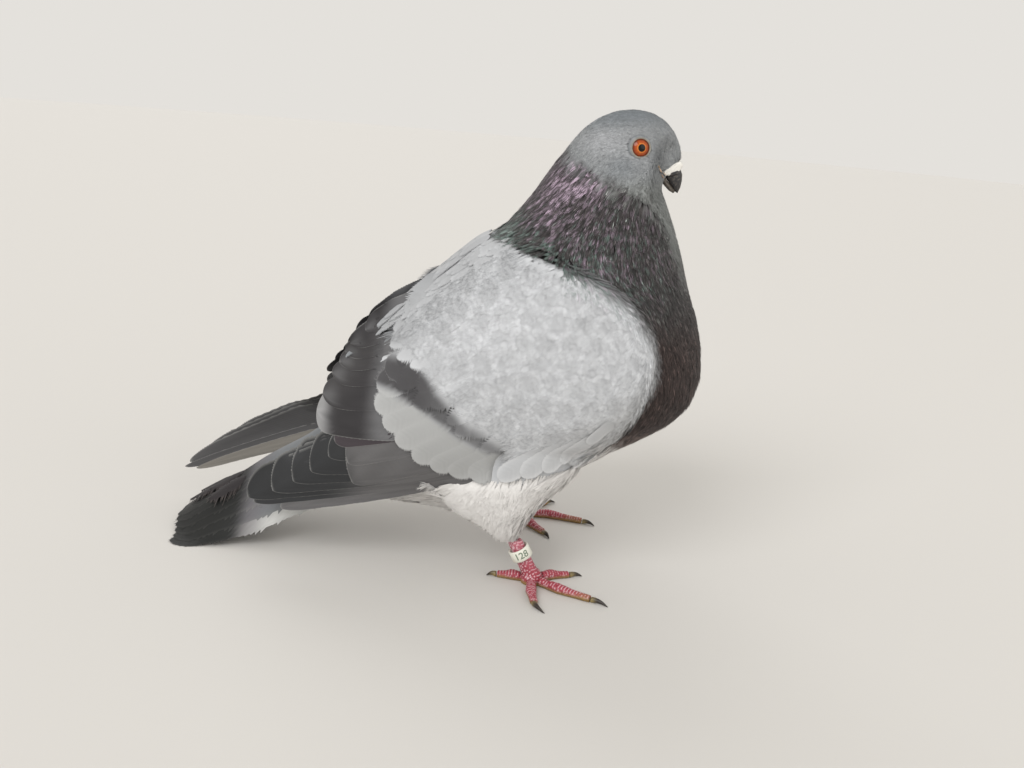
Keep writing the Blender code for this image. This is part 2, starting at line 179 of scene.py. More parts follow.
# %% Lamps, sky and floor
def add_lamp(name, at, power, softness):
    """A far, soft lamp that shines from one place towards the bird."""
    lamp = bpy.data.lights.new(name, "SUN")
    lamp.energy = power
    lamp.angle = softness
    obj = add_object(name, lamp)
    obj.location = Vector(place(at))
    aim = Vector(place((0, 0, 120))) - obj.location
    obj.rotation_euler = aim.to_track_quat("-Z", "Y").to_euler()


add_lamp("key_lamp", (-500, -900, 900), 1.55, 0.6)
add_lamp("fill_lamp", (900, -700, 500), 0.5, 0.9)
add_lamp("back_lamp", (-300, 1000, 900), 0.6, 0.7)

sky = bpy.data.worlds.new("sky")
sky.use_nodes = True
sky.node_tree.nodes["Background"].inputs["Color"].default_value = (0.995, 0.966, 0.918, 1)
sky.node_tree.nodes["Background"].inputs["Strength"].default_value = 0.78
bpy.context.scene.world = sky
bpy.context.scene.view_settings.view_transform = "Standard"

FLOOR_RADIUS = 6.0
floor_mesh = bpy.data.meshes.new("floor")
floor_turns = full_turn(64)
floor_rim = [(FLOOR_RADIUS * math.cos(turn), FLOOR_RADIUS * math.sin(turn), 0) for turn in floor_turns]
floor_mesh.from_pydata(floor_rim, [], [list(range(64))])
floor = add_object("floor", floor_mesh)
floor_paint = bpy.data.materials.new("floor_paint")
floor_paint.use_nodes = True
floor_shader = floor_paint.node_tree.nodes["Principled BSDF"]
floor_shader.inputs["Base Color"].default_value = (0.600, 0.584, 0.558, 1)
floor_shader.inputs["Roughness"].default_value = 0.85
floor_mesh.materials.append(floor_paint)
floor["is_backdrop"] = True
print("studio ready")

# %% [markdown]
# ## The skin
#
# A bird's body under its feathers is one smooth form, while the solids are separate lengths that meet at
# thin cuts. They could be bridged by hand. It is quicker to let a voxel remesh fuse them: it fills space
# with small cubes and draws one new surface round all of them. A few rounds of smoothing take out the
# cubes' steps. This fused form is where feathers will lie, and the skin is the same form pulled inward by
# the depth of the coat.

# %% Fuse the solids into one form
FLESH = ["head", "neck", "trunk", "thigh_right", "thigh_left", "wing_right", "wing_left", "tail"]
FLESH_ENDS = {"wing_right": -100, "wing_left": -100, "tail": -128}      # behind these x, only feathers


def joined_copy(name, nodes, cut_at=None):
    """One mesh from copies of several solids; those in cut_at end at that x and are closed there."""
    whole = bmesh.new()
    for node in nodes:
        bm = bmesh.new()
        bm.from_mesh(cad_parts[node].data)
        bmesh.ops.remove_doubles(bm, verts=bm.verts, dist=1e-6)
        if node in (cut_at or {}):
            cut = bmesh.ops.bisect_plane(bm, geom=bm.verts[:] + bm.edges[:] + bm.faces[:], dist=1e-7,
                                         clear_outer=True, plane_co=place((cut_at[node], 0, 0)),
                                         plane_no=(-1, 0, 0))
            rim = [item for item in cut["geom_cut"] if isinstance(item, bmesh.types.BMEdge)]
            bmesh.ops.holes_fill(bm, edges=rim, sides=0)
        piece = bpy.data.meshes.new(name)
        bm.to_mesh(piece)
        whole.from_mesh(piece)
        bm.free()
        bpy.data.meshes.remove(piece)
    mesh = bpy.data.meshes.new(name)
    whole.to_mesh(mesh)
    whole.free()
    return add_object(name, mesh)


def fuse(obj, voxel, smooth_rounds):
    """Voxel remesh, then smooth, and keep the result as plain mesh."""
    remesh = obj.modifiers.new("remesh", "REMESH")
    remesh.mode = "VOXEL"
    remesh.voxel_size = voxel
    remesh.use_smooth_shade = True
    smooth = obj.modifiers.new("smooth", "SMOOTH")
    smooth.factor = 0.5
    smooth.iterations = smooth_rounds
    graph = bpy.context.evaluated_depsgraph_get()
    mesh = bpy.data.meshes.new_from_object(obj.evaluated_get(graph))
    obj.modifiers.clear()
    obj.data = mesh
    return obj


def mesh_arrays(mesh):
    """Vertex places, vertex normals and the triangles of a mesh, as arrays."""
    points = np.empty(len(mesh.vertices) * 3)
    mesh.vertices.foreach_get("co", points)
    normals = np.empty(len(mesh.vertices) * 3)
    mesh.vertex_normals.foreach_get("vector", normals)
    mesh.calc_loop_triangles()
    corners = np.empty(len(mesh.loop_triangles) * 3, int)
    mesh.loop_triangles.foreach_get("vertices", corners)
    return points.reshape(-1, 3), normals.reshape(-1, 3), corners.reshape(-1, 3)


form = fuse(joined_copy("form", FLESH + ["eye_right", "eye_left"], FLESH_ENDS), 1.5 * MM, 5)
form_points, form_normals, _ = mesh_arrays(form.data)
print("fused form:", len(form_points), "points")

# %% [markdown]
# The solids are the outside of the coat, and in three places the body under it is slimmer: the cheeks
# narrow towards the bill, the thighs are thin in front, and the fluff under the tail hangs in a hollow. The
# fused points are moved there, by an amount that fades out round each place.

# %% Trim the form
form_mm = read_mm(form_points)
x, y, z = form_mm.T
cheeks = ramp(x, 47, 59) * ramp(z, 217, 225) * ramp(256 - z, 0, 14)
form_mm[:, 1] = y * (1 - 0.6 * cheeks)
shin = ramp(72 - z, 0, 20) * ramp(np.abs(y), 30, 34) * ramp(form_normals[:, 0], 0, 0.6) * ramp(z, 24, 30)
form_mm[:, 0] -= 4.0 * shin
hollow = np.interp(x, [-130, -96, -60, -45], [26, 32, 34, 30])
form_mm[:, 2] = np.where((x < -50) & (z < hollow), hollow + 0.25 * (z - hollow), z)
form.data.vertices.foreach_set("co", place(form_mm).ravel())
form.data.update()
form_points, form_normals, form_faces = mesh_arrays(form.data)
form_tree = BVHTree.FromPolygons(form_points.tolist(), form_faces.tolist())
print("narrowest cheek, share of its width:", np.round(1 - 0.6 * cheeks.max(), 2))


def nearest_on(tree, points):
    """For each point the nearest place, the way out of the surface there, and the distance."""
    found = [tree.find_nearest(p) for p in np.asarray(points).tolist()]
    return (np.array([f[0] for f in found]), np.array([f[1] for f in found]), np.array([f[3] for f in found]))


def unit(vectors):
    """Vectors of length 1 with the same directions."""
    return vectors / np.maximum(np.linalg.norm(vectors, axis=-1, keepdims=True), 1e-12)


def point_tree(points):
    """A search tree of single points, to find the nearest two."""
    tree = KDTree(len(points))
    for i, point in enumerate(points):
        tree.insert(point, i)
    tree.balance()
    return tree


# %% [markdown]
# ## The lie of the coat
#
# Every feather on a bird lies along its neighbours: back over the head, down the neck, round the front of
# the folded wing and back along the belly. In a modelling program such a coat is combed with a brush. Here
# it is a short list of strokes, each a place seen from the side and a direction. Between them the direction
# is a mix of the nearest ones, laid flat onto the surface, so it holds on both sides of the bird.

# %% Comb strokes
COMB = np.array([
    # x, z, direction in degrees: 0 forward, 90 up, 180 back, 270 down
    (65, 243, 118), (63, 250, 125), (56, 259, 150), (44, 265, 178), (32, 264, 202), (20, 259, 222),
    (10, 251, 236), (2, 243, 240), (-6, 230, 238), (-16, 212, 232), (-34, 189, 226), (-60, 160, 227),
    (-85, 130, 227), (-110, 95, 226), (58, 238, 165), (50, 246, 170), (42, 254, 182), (36, 243, 200),
    (28, 250, 212), (22, 238, 236), (34, 230, 228), (46, 231, 215), (56, 226, 250), (60, 216, 280),
    (50, 215, 258), (38, 213, 256), (25, 222, 248), (12, 232, 242), (66, 200, 290), (74, 182, 287),
    (82, 160, 284), (90, 135, 276), (92, 115, 263), (84, 97, 232), (70, 82, 205), (50, 70, 197),
    (30, 60, 195), (0, 45, 200), (55, 195, 272), (42, 195, 264), (25, 205, 250), (8, 215, 240),
    (0, 203, 246), (10, 192, 268), (22, 186, 290), (38, 174, 302), (50, 160, 292), (60, 140, 280),
    (68, 160, 284), (75, 130, 275), (72, 110, 258), (60, 95, 232), (40, 80, 205), (-30, 40, 190),
    (-60, 38, 185), (-90, 35, 182), (-10, 60, 258), (-22, 45, 258), (-15, 33, 268), (-130, 60, 210),
    (-170, 35, 210)], float)


def lie(points, normals, comb=COMB):
    """The direction in which feathers lie at each place, flat on the surface."""
    side_view = read_mm(points)[:, None, [0, 2]] - comb[None, :, :2]
    weight = 1 / ((side_view ** 2).sum(axis=2) + 12) ** 2
    turn = np.radians(comb[:, 2])
    direction = np.stack([weight @ np.cos(turn), np.zeros(len(points)), weight @ np.sin(turn)], axis=1)
    direction = unit(direction)
    return unit(direction - normals * (direction * normals).sum(axis=1, keepdims=True))


# %% [markdown]
# When the bird is exported, each feather's colour is baked into one small patch, and neighbours should have
# neighbouring patches. So the body is unrolled: one way along its own bent axis, from tail to bill, and the
# other way round that axis.

# %% Unroll the body
AXIS = np.array([(-160, 40), (-111, 56), (-93, 68), (-69, 80), (-45, 90), (-21, 108), (0, 126), (18, 140),
                 (33, 153), (41, 171), (42, 190), (41, 208), (42, 225), (50, 240), (70, 234)], float)


def unroll(points):
    """Where each place lies on the unrolled body: both numbers from 0 to 1."""
    mm = read_mm(points)
    side_view = mm[:, [0, 2]]
    best = np.full(len(mm), 1e9)
    along, above = np.zeros(len(mm)), np.zeros(len(mm))
    for i, (start, end) in enumerate(zip(AXIS, AXIS[1:])):
        run = end - start
        share = np.clip(((side_view - start) @ run) / (run @ run), 0, 1)
        off = side_view - start - share[:, None] * run
        gap = (off ** 2).sum(axis=1)
        normal = np.array([-run[1], run[0]]) / np.linalg.norm(run)
        closer = gap < best
        best[closer], along[closer] = gap[closer], (i + share[closer]) / (len(AXIS) - 1)
        above[closer] = (off @ normal)[closer]
    return np.stack([0.5 + np.arctan2(mm[:, 1], above) / (2 * math.pi + 0.01), 0.01 + 0.98 * along], axis=1)


# %% [markdown]
# ## Building many feathers at once
#
# There will be tens of thousands of feathers, so they are made as whole arrays of numbers and turned into a
# mesh at the end. A `Sheaf` gathers points, triangles, colours and two maps: "vane" says where a point lies
# on its own feather, for drawing barbs, and "OFBake" holds each feather's patch on the unrolled body.


# %% A sheaf of feathers
class Sheaf:
    """Feathers that are gathered as arrays and become one mesh."""

    def __init__(self, name):
        self.name = name
        self.count = 0
        self.points, self.faces, self.colours = [], [], []
        self.vane, self.patch, self.calm = [], [], []

    def add(self, points, faces, colours, vane, patch, calm):
        """Add feathers of one pattern, as arrays of (feathers, points of one, n). calm holds the body's own
        way out at each point, as long as its share in the shading."""
        feathers, size = points.shape[:2]
        start = self.count + np.arange(feathers)[:, None, None] * size
        self.faces.append((start + faces[None]).reshape(-1, 3))
        self.points.append(points.reshape(-1, 3))
        self.colours.append(colours.reshape(-1, 4))
        self.vane.append(np.broadcast_to(vane, (feathers, size, 2)).reshape(-1, 2))
        self.patch.append(patch.reshape(-1, 2))
        self.calm.append(np.broadcast_to(calm, points.shape).reshape(-1, 3))
        self.count += feathers * size

    def build(self, material):
        """Make the joined mesh, put it on the bird and say how big it is."""
        points, faces, calm = (np.concatenate(part) for part in (self.points, self.faces, self.calm))
        corners = points[faces]
        facing = np.cross(corners[:, 1] - corners[:, 0], corners[:, 2] - corners[:, 0])
        inward = (facing * calm[faces].sum(axis=1)).sum(axis=1) < 0
        faces[inward] = faces[inward][:, ::-1]
        mesh = bpy.data.meshes.new(self.name)
        mesh.vertices.add(len(points))
        mesh.vertices.foreach_set("co", points.astype(np.float32).ravel())
        mesh.loops.add(faces.size)
        mesh.loops.foreach_set("vertex_index", faces.astype(np.int32).ravel())
        mesh.polygons.add(len(faces))
        mesh.polygons.foreach_set("loop_start", np.arange(0, faces.size, 3, dtype=np.int32))
        mesh.polygons.foreach_set("use_smooth", np.ones(len(faces), bool))
        mesh.update(calc_edges=True)
        for map_name, values in (("OFBake", self.patch), ("vane", self.vane)):
            layer = mesh.uv_layers.new(name=map_name)
            layer.uv.foreach_set("vector", np.concatenate(values)[faces.ravel()].astype(np.float32).ravel())
        paint_points(mesh, np.concatenate(self.colours))
        own = np.empty(len(points) * 3)
        mesh.vertex_normals.foreach_get("vector", own)
        own = own.reshape(-1, 3)
        shaded = unit(own * (1 - np.linalg.norm(calm, axis=1, keepdims=True)) + calm)
        mesh.normals_split_custom_set_from_vertices(shaded.tolist())
        mesh.materials.append(material)
        obj = add_object(self.name, mesh)
        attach(obj, "root")
        print(f"{self.name}: {len(faces)} triangles")


# %% [markdown]
# Small body feathers aren't smooth leaves. Their barbs stick together near the quill and come apart towards
# the tip, so a coat of them looks like short hair. Each is made as a narrow fan: whole at the root, and
# split into a few strands that run out to points. It bends once along its length, from under the coat at
# its root to the coat's surface at its tip.

# %% One split feather as a pattern
PATCH = 0.003              # how much of the unrolled body one feather's patch takes up


def strand_pattern(strands):
    """Places on a feather of a few strands, as (across, along), and its triangles."""
    places, faces = [], []
    for along in (0.0, 0.42):
        places += [(-1 + 2 * k / strands, along) for k in range(strands + 1)]
    for k in range(strands):
        middle = -1 + (2 * k + 1) / strands
        places += [(middle - 0.55 / strands, 0.76), (middle + 0.55 / strands, 0.76)]
    places += [(-1 + (2 * k + 1) / strands, 1.0) for k in range(strands)]
    second, third = strands + 1, 2 * (strands + 1)
    tips = third + 2 * strands
    for k in range(strands):
        faces += [(k, k + 1, second + k + 1), (k, second + k + 1, second + k)]
        left, right = third + 2 * k, third + 2 * k + 1
        faces += [(second + k, second + k + 1, right), (second + k, right, left), (left, right, tips + k)]
    return np.array(places, float), np.array(faces)


def grow_split(sheaf, roots, outward, along, length, width, lift, strands, colour, depth, untidy, calm):
    """Grow one split feather at each root. Sizes are in millimetres, as (smallest, largest); colour gives
    the points' colours from the roots' places."""
    places, faces = strand_pattern(strands)
    feathers, size = len(roots), len(places)
    length, width, lift = (rng.uniform(*sizes, feathers) * MM for sizes in (length, width, lift))
    side = np.cross(outward, along)
    sway = rng.normal(0, untidy, feathers)[:, None]
    along = unit(along + side * sway)
    side = np.cross(outward, along)
    tips, tip_out, _ = nearest_on(form_tree, roots + along * length[:, None])
    tips = tips + tip_out * lift[:, None]
    start = roots - outward * depth
    middle = (start + tips) / 2 + outward * (depth * 0.45 + lift[:, None] * 0.2)
    across, v = places[:, 0], places[:, 1]
    strand_noise = rng.normal(0, 1, (feathers, size))
    v_here = v[None] * (1 + (v[None] > 0.9) * (strand_noise * 0.07 - 0.16 * across[None] ** 2))
    v3 = v_here[..., None]
    curve = start[:, None] * (1 - v3) ** 2 + middle[:, None] * 2 * v3 * (1 - v3) + tips[:, None] * v3 ** 2
    spread = np.interp(v, [0, 0.42, 0.76, 1], [0.35, 1.0, 1.05, 0.85])[None] * width[:, None]
    offset = (across[None] + strand_noise * untidy * 0.8 * v[None] ** 2) * spread
    drop = -0.12 * across[None] ** 2 * width[:, None] + strand_noise * 0.05 * width[:, None] * v[None]
    points = curve + side[:, None] * offset[..., None] + outward[:, None] * drop[..., None]
    corner = unroll(roots)[:, None] + (np.stack([across / 2, v - 0.5], axis=1) * PATCH)[None]
    shading = (outward + tip_out)[:, None] / 2 * calm
    strand = np.concatenate([np.full(2 * strands + 2, strands), np.arange(strands).repeat(2),
                             np.arange(strands)])
    tones = colour(roots, v, strand, feathers)
    sheaf.add(points, faces, tones, np.stack([across / 2 + 0.5, v], axis=1), corner, shading)


# %% [markdown]
# ## Markings
#
# This is a blue-bar pigeon: a bluish grey head, a dark neck that glints green and purple, a wine-dark
# breast, a pale silver wing with two dark bars, a nearly white belly and a tail that ends in a black band.
# The markings are worked out from where a place is on the bird, so that the skin, the small feathers and
# the large ones all agree. A fourth number goes with each colour and says how much the feather glints.

# %% Body markings
HEAD_GREY, CROWN_GREY, PALE_FACE = paint(143, 146, 148), paint(124, 130, 135), paint(163, 165, 168)
THROAT_GREY = paint(132, 135, 133)
# the neck's purple and green are its own sheen, painted as glints: bright highlights on single feathers
NECK_DARK, NECK_GREEN_GLINT, NECK_PURPLE_GLINT = paint(50, 47, 47), paint(104, 122, 116), paint(204, 182, 202)
BREAST_WINE, BREAST_LOW = paint(50, 41, 39), paint(98, 86, 82)
BACK_GREY, BELLY_WHITE, RUMP_GREY = paint(160, 162, 165), paint(228, 226, 224), paint(132, 136, 140)
NECKLINE = np.array([(-20, 262), (2, 246), (9, 237), (18, 232), (28, 228), (36, 224), (43, 222), (49, 219),
                     (53, 214), (57, 207), (61, 198), (66, 186), (72, 165)], float)


def along_line(line, x):
    """The height z of a line seen from the side, above each x."""
    return np.interp(x, line[:, 0], line[:, 1])


def spot(x, z, centre, reach):
    """1 at a place seen from the side, falling softly to 0."""
    return np.exp(-((x - centre[0]) / reach[0]) ** 2 - ((z - centre[1]) / reach[1]) ** 2)


def body_markings(points):
    """Colour and glint of the body's coat at each place."""
    x, y, z = read_mm(points).T
    wobble = 2.2 * np.sin(x * 0.55 + y * 0.3) * np.sin(z * 0.6 - y * 0.4)
    wobble = wobble + 1.2 * np.sin(x * 1.3 - z * 1.1 + y)
    breast = ramp(176 - z, 0, 34)
    colour = blend(NECK_DARK, BREAST_WINE, breast)
    colour = blend(colour, BREAST_LOW, ramp(100 - z + wobble, 0, 22) * ramp(x, 20, 50))
    belly = ramp(60 - x + 0.9 * (80 - z) + wobble, 0, 16) * ramp(104 - z + wobble, 0, 14)
    belly = np.maximum(belly, ramp(62 - z + wobble, 0, 10) * ramp(60 - x, 0, 14))
    colour = blend(colour, BELLY_WHITE, belly)
    behind = ramp(8 - x - 0.35 * (z - 190) + wobble, 30, 50) * (1 - belly)
    glossy = (1 - belly) * (1 - behind) * (0.85 - 0.45 * breast)
    colour = blend(colour, BACK_GREY, behind)
    colour = blend(colour, RUMP_GREY, behind * ramp(-x, 80, 105))
    line = along_line(NECKLINE, x)
    head = ramp(z - line + wobble, -4.5, 5) * ramp(z + 2 * wobble, 164, 190)
    pale = spot(x, z, (24, 249), (14, 7.5)) + 0.75 * spot(x, z, (44, 243), (13, 9))
    grey = blend(HEAD_GREY, PALE_FACE, np.clip(pale, 0, 1))
    grey = blend(grey, CROWN_GREY, ramp(z - 0.06 * (x - 20), 251, 262) * 0.9)
    grey = blend(grey, THROAT_GREY, ramp(234 - z, 0, 12))
    grey = blend(grey, NECK_DARK * 1.5, ramp(214 - z, 0, 48) * 0.7)
    shadow = 0.35 * spot(x, z, (52, 240), (4, 6)) + 0.5 * spot(x, z, (34, 236), (9, 5))
    grey = blend(grey, CROWN_GREY * 0.86, shadow)
    grey = grey * (1 + 0.05 * np.sin(0.7 * x + 0.5 * z) * np.sin(0.9 * z - 0.5 * x + y))[:, None]
    colour = blend(colour, grey, head)
    return np.concatenate([colour, (glossy * (1 - head) * (1 - 0.5 * belly))[:, None]], axis=1)


def glints(points, feathers):
    """Painted glints: the neck's purple or green sheen painted as highlights on single feathers, and each
    one's share.
    """
    x, y, z = read_mm(points).T
    purple = 1.3 * spot(x, z, (10, 229), (9, 8)) + 0.45 * spot(x, z, (-3, 212), (12, 12))
    purple = purple + 0.25 * spot(x, z, (25, 200), (30, 30))
    green = 0.9 * spot(x, z, (-22, 196), (17, 14)) + 0.5 * spot(x, z, (2, 186), (22, 12))
    green = green + 0.3 * spot(x, z, (30, 190), (30, 30))
    picked = rng.random(feathers) * (purple + green + 1e-6) < purple
    strength = np.where(picked, purple, green) * rng.uniform(0, 1, feathers) ** 2.6 * 1.8
    strength = strength * ramp(along_line(NECKLINE, x) - z, -3, 4)
    return np.where(picked[:, None], NECK_PURPLE_GLINT, NECK_GREEN_GLINT), np.clip(strength, 0, 0.9)


print("neck:", np.round(body_markings(place([(22, -30, 205)])), 3))

# %% [markdown]
# ## Wing markings
#
# The wing's shield is pale grey. A dark bar crosses the coverts from the back edge to the lower edge, above
# a pale band, and a second bar crosses the long inner feathers. A bar runs over many feathers, so it is
# looked up where a point lies. Each feather moves its own piece a little, which makes the toothed edge.

# %% Shield and bar
SHIELD_EDGE = np.array([(-90, 131), (-74, 152), (-60, 166), (-48, 178), (-37, 192), (-23, 192), (-7, 187),
                        (8, 183), (18, 180), (29, 175), (40, 167), (51, 156), (57, 145), (59, 129),
                        (56, 113), (47, 99), (38, 86), (20, 68), (-10, 60), (-60, 50), (-115, 60),
                        (-120, 90)], float)
BAR_TOP = np.array([(-92, 128), (-75, 129), (-68, 127), (-59, 117), (-46, 106), (-40, 99), (-30, 93),
                    (-20, 87), (-13, 82), (0, 72)], float)
BAR_BOTTOM = np.array([(-92, 110), (-82, 109), (-74, 107), (-61, 99), (-56, 96), (-41, 88), (-29, 81),
                       (-17, 77), (0, 70)], float)
SHIELD_GREY, SHIELD_BACK, SHIELD_LOW = paint(195, 197, 200), paint(166, 168, 171), paint(192, 193, 194)
BAR_DARK, BELOW_BAR = paint(72, 71, 73), paint(167, 168, 168)


def inside(polygon, x, z):
    """Whether each place seen from the side lies inside a closed outline."""
    crossings = np.zeros(np.shape(x), int)
    for (x1, z1), (x2, z2) in zip(polygon, np.roll(polygon, -1, axis=0)):
        if z1 != z2:
            crossings += ((z1 > z) != (z2 > z)) & (x < (x2 - x1) * (z - z1) / (z2 - z1) + x1)
    return crossings % 2 == 1


def edge_gap(outline, x, z):
    """How far inside a closed outline each place lies, in mm, and less than 0 outside it."""
    gap = np.full(np.shape(x), 1e9)
    for (x1, z1), (x2, z2) in zip(outline, np.roll(outline, -1, axis=0)):
        run_x, run_z = x2 - x1, z2 - z1
        share = np.clip(((x - x1) * run_x + (z - z1) * run_z) / (run_x ** 2 + run_z ** 2), 0, 1)
        gap = np.minimum(gap, np.hypot(x - x1 - share * run_x, z - z1 - share * run_z))
    return np.where(inside(outline, x, z), gap, -gap)


BACK_LINE = np.array([(-88, 133), (-74, 152), (-62, 164), (-50, 174), (-37, 193)], float)


def shield_markings(points, shift):
    """Colour of wing coverts at each point; shift moves each feather's piece of the bar, in mm."""
    mm = read_mm(points)
    x, z = mm[..., 0], mm[..., 2]
    from_back = 0.7 * (along_line(BACK_LINE, x) - z) + ramp(x, -37, 30) * 20
    colour = blend(SHIELD_BACK, SHIELD_GREY, ramp(from_back, -6, 24))
    colour = blend(colour, SHIELD_LOW, ramp(0.6 * x + 0.8 * (108 - z), 10, 36) * 0.8)
    top = along_line(BAR_TOP, x) + shift
    bottom = along_line(BAR_BOTTOM, x) + shift
    colour = blend(colour, BELOW_BAR, ramp(bottom - z, -2, 2) * ramp(-x, 5, 25))
    bar = ramp(top - z, -3.5, 6) * ramp(z - bottom, -2.2, 3.5) * ramp(-x, 2, 20)
    return blend(colour, BAR_DARK, bar * (0.72 + 0.28 * ramp(-x, 30, 70)))


def coat_markings(points):
    """The body's markings, which turn into the shield's grey over the wing's front edge."""
    tones = body_markings(points)
    x, y, z = read_mm(points).T
    wing = ramp(edge_gap(SHIELD_EDGE, x, z), -3.5, 3.5) * ramp(np.abs(y), 24, 34)
    wing = wing * ramp(x, -45, -30) * ramp(z, 76, 84)
    tones[:, :3] = blend(tones[:, :3], shield_markings(points, 0), wing)
    tones[:, 3] *= 1 - wing
    return tones


print("bar at x -50, mm:", along_line(BAR_BOTTOM, -50), "to", along_line(BAR_TOP, -50))

# %% [markdown]
# ## Feather material
#
# A feather's blade is made of hundreds of barbs that leave the quill at a slant. They show as very fine
# lines, and they give the blade its soft sheen. One shader group draws them from the "vane" map, for every
# kind of feather, and each material places it with its own fineness and strength.


# %% Shader groups
def new_group(name, inputs, outputs):
    """An empty shader group: inputs as (name, value), with None for a vector, and outputs as names."""
    group = bpy.data.node_groups.new(name, "ShaderNodeTree")
    for socket_name, value in inputs:
        kind = "NodeSocketVector" if value is None else "NodeSocketFloat"
        socket = group.interface.new_socket(socket_name, in_out="INPUT", socket_type=kind)
        if value is not None:
            socket.default_value = value
    for socket_name in outputs:
        group.interface.new_socket(socket_name, in_out="OUTPUT", socket_type="NodeSocketFloat")
    return group, group.nodes.new("NodeGroupInput"), group.nodes.new("NodeGroupOutput")


def math_node(tree, operation, first, second=None, third=None):
    """A Math node; each input is a number or another node's socket."""
    node = tree.nodes.new("ShaderNodeMath")
    node.operation = operation
    for socket, value in zip(node.inputs, (first, second, third)):
        if isinstance(value, bpy.types.NodeSocket):
            tree.links.new(value, socket)
        elif value is not None:
            socket.default_value = value
    return node.outputs[0]


barbs, barbs_in, barbs_out = new_group(
    "Barbs", [("Vane", None), ("Barbs along", 60.0), ("Slant", 14.0), ("Clumping", 0.5)], ["Height", "Shade"])
split = barbs.nodes.new("ShaderNodeSeparateXYZ")
barbs.links.new(barbs_in.outputs["Vane"], split.inputs[0])
from_quill = math_node(barbs, "ABSOLUTE", math_node(barbs, "SUBTRACT", split.outputs["X"], 0.5))
slanted = math_node(barbs, "MULTIPLY", from_quill, barbs_in.outputs["Slant"])
count_along = math_node(barbs, "MULTIPLY", split.outputs["Y"], barbs_in.outputs["Barbs along"])
phase = math_node(barbs, "SUBTRACT", count_along, slanted)
barb_wave = math_node(barbs, "SINE", math_node(barbs, "MULTIPLY", phase, 2 * math.pi))
clump = barbs.nodes.new("ShaderNodeTexNoise")
clump.noise_dimensions = "1D"
clump.inputs["Scale"].default_value = 0.35
clump.inputs["Detail"].default_value = 3.0
barbs.links.new(phase, clump.inputs["W"])
clumped = math_node(barbs, "MULTIPLY", math_node(barbs, "SUBTRACT", clump.outputs[0], 0.5), 2.0)
clumped = math_node(barbs, "MULTIPLY", clumped, barbs_in.outputs["Clumping"])
barbs.links.new(math_node(barbs, "ADD", math_node(barbs, "MULTIPLY", barb_wave, 0.3), clumped),
                barbs_out.inputs["Height"])
barbs.links.new(math_node(barbs, "ADD", math_node(barbs, "MULTIPLY", barb_wave, 0.035),
                          math_node(barbs, "MULTIPLY_ADD", clumped, 0.16, 1.0)), barbs_out.inputs["Shade"])

grain, grain_in, grain_out = new_group("Grain", [("Fineness", 1500.0)], ["Height"])
grain_noise = grain.nodes.new("ShaderNodeTexNoise")
grain_noise.inputs["Detail"].default_value = 4.0
grain.links.new(grain_in.outputs["Fineness"], grain_noise.inputs["Scale"])
grain.links.new(grain_noise.outputs[0], grain_out.inputs["Height"])
print("groups made:", barbs.name, "and", grain.name)

# %% [markdown]
# Every feather is painted through an attribute of its points, so one material serves feathers of any
# colour. The kinds differ only in how fine their barbs are and how soft their surface looks.


# %% Feather materials
def painted_material(name):
    """A new material that shows the painted colours, and its node tree, its shader and their source."""
    material = bpy.data.materials.new(name)
    material.use_nodes = True
    tree = material.node_tree
    painted = tree.nodes.new("ShaderNodeAttribute")
    painted.attribute_name = "plumage"
    return material, tree, tree.nodes["Principled BSDF"], painted


def set_inputs(node, values):
    """Set some of a node's inputs by their names."""
    for socket_name, value in values.items():
        node.inputs[socket_name].default_value = value


def add_relief(tree, height, strength, depth):
    """Let a socket's height show as relief on the surface; depth is in millimetres."""
    relief = tree.nodes.new("ShaderNodeBump")
    set_inputs(relief, {"Strength": strength, "Distance": depth * MM})
    tree.links.new(height, relief.inputs["Height"])
    tree.links.new(relief.outputs[0], tree.nodes["Principled BSDF"].inputs["Normal"])


def feather_material(name, barbs_along, slant, clumping, bump, roughness, sheen):
    """A feather blade: its own painted colour, barbs over it, and a glint where the markings ask for one."""
    material, tree, shader, painted = painted_material(name)
    vane = tree.nodes.new("ShaderNodeUVMap")
    vane.uv_map = "vane"
    drawn = tree.nodes.new("ShaderNodeGroup")
    drawn.node_tree = barbs
    tree.links.new(vane.outputs[0], drawn.inputs["Vane"])
    set_inputs(drawn, {"Barbs along": barbs_along, "Slant": slant, "Clumping": clumping})
    shaded = tree.nodes.new("ShaderNodeVectorMath")
    shaded.operation = "SCALE"
    tree.links.new(painted.outputs["Color"], shaded.inputs[0])
    tree.links.new(drawn.outputs["Shade"], shaded.inputs["Scale"])
    tree.links.new(shaded.outputs[0], shader.inputs["Base Color"])
    add_relief(tree, drawn.outputs["Height"], bump, 0.1)
    glint = painted.outputs["Alpha"]
    tree.links.new(math_node(tree, "MULTIPLY_ADD", glint, 0.38 - roughness, roughness),
                   shader.inputs["Roughness"])
    tree.links.new(math_node(tree, "MULTIPLY", glint, 0.45), shader.inputs["Metallic"])
    set_inputs(shader, {"Sheen Weight": sheen, "Sheen Roughness": 0.5, "Specular IOR Level": 0.3})
    return material


split_feather = feather_material("split_feather", 26.0, 6.0, 0.6, 0.25, 0.8, 0.12)
down_feather = feather_material("down_feather", 20.0, 5.0, 0.7, 0.2, 0.9, 0.2)
covert_feather = feather_material("covert_feather", 60.0, 3.0, 0.25, 0.1, 0.8, 0.15)
flight_feather = feather_material("flight_feather", 150.0, 3.0, 0.25, 0.15, 0.62, 0.03)
print("feather materials made")

# %% [markdown]
# Skin, horn, scales and the eye are painted in the same way, and have a fine grain in place of barbs.


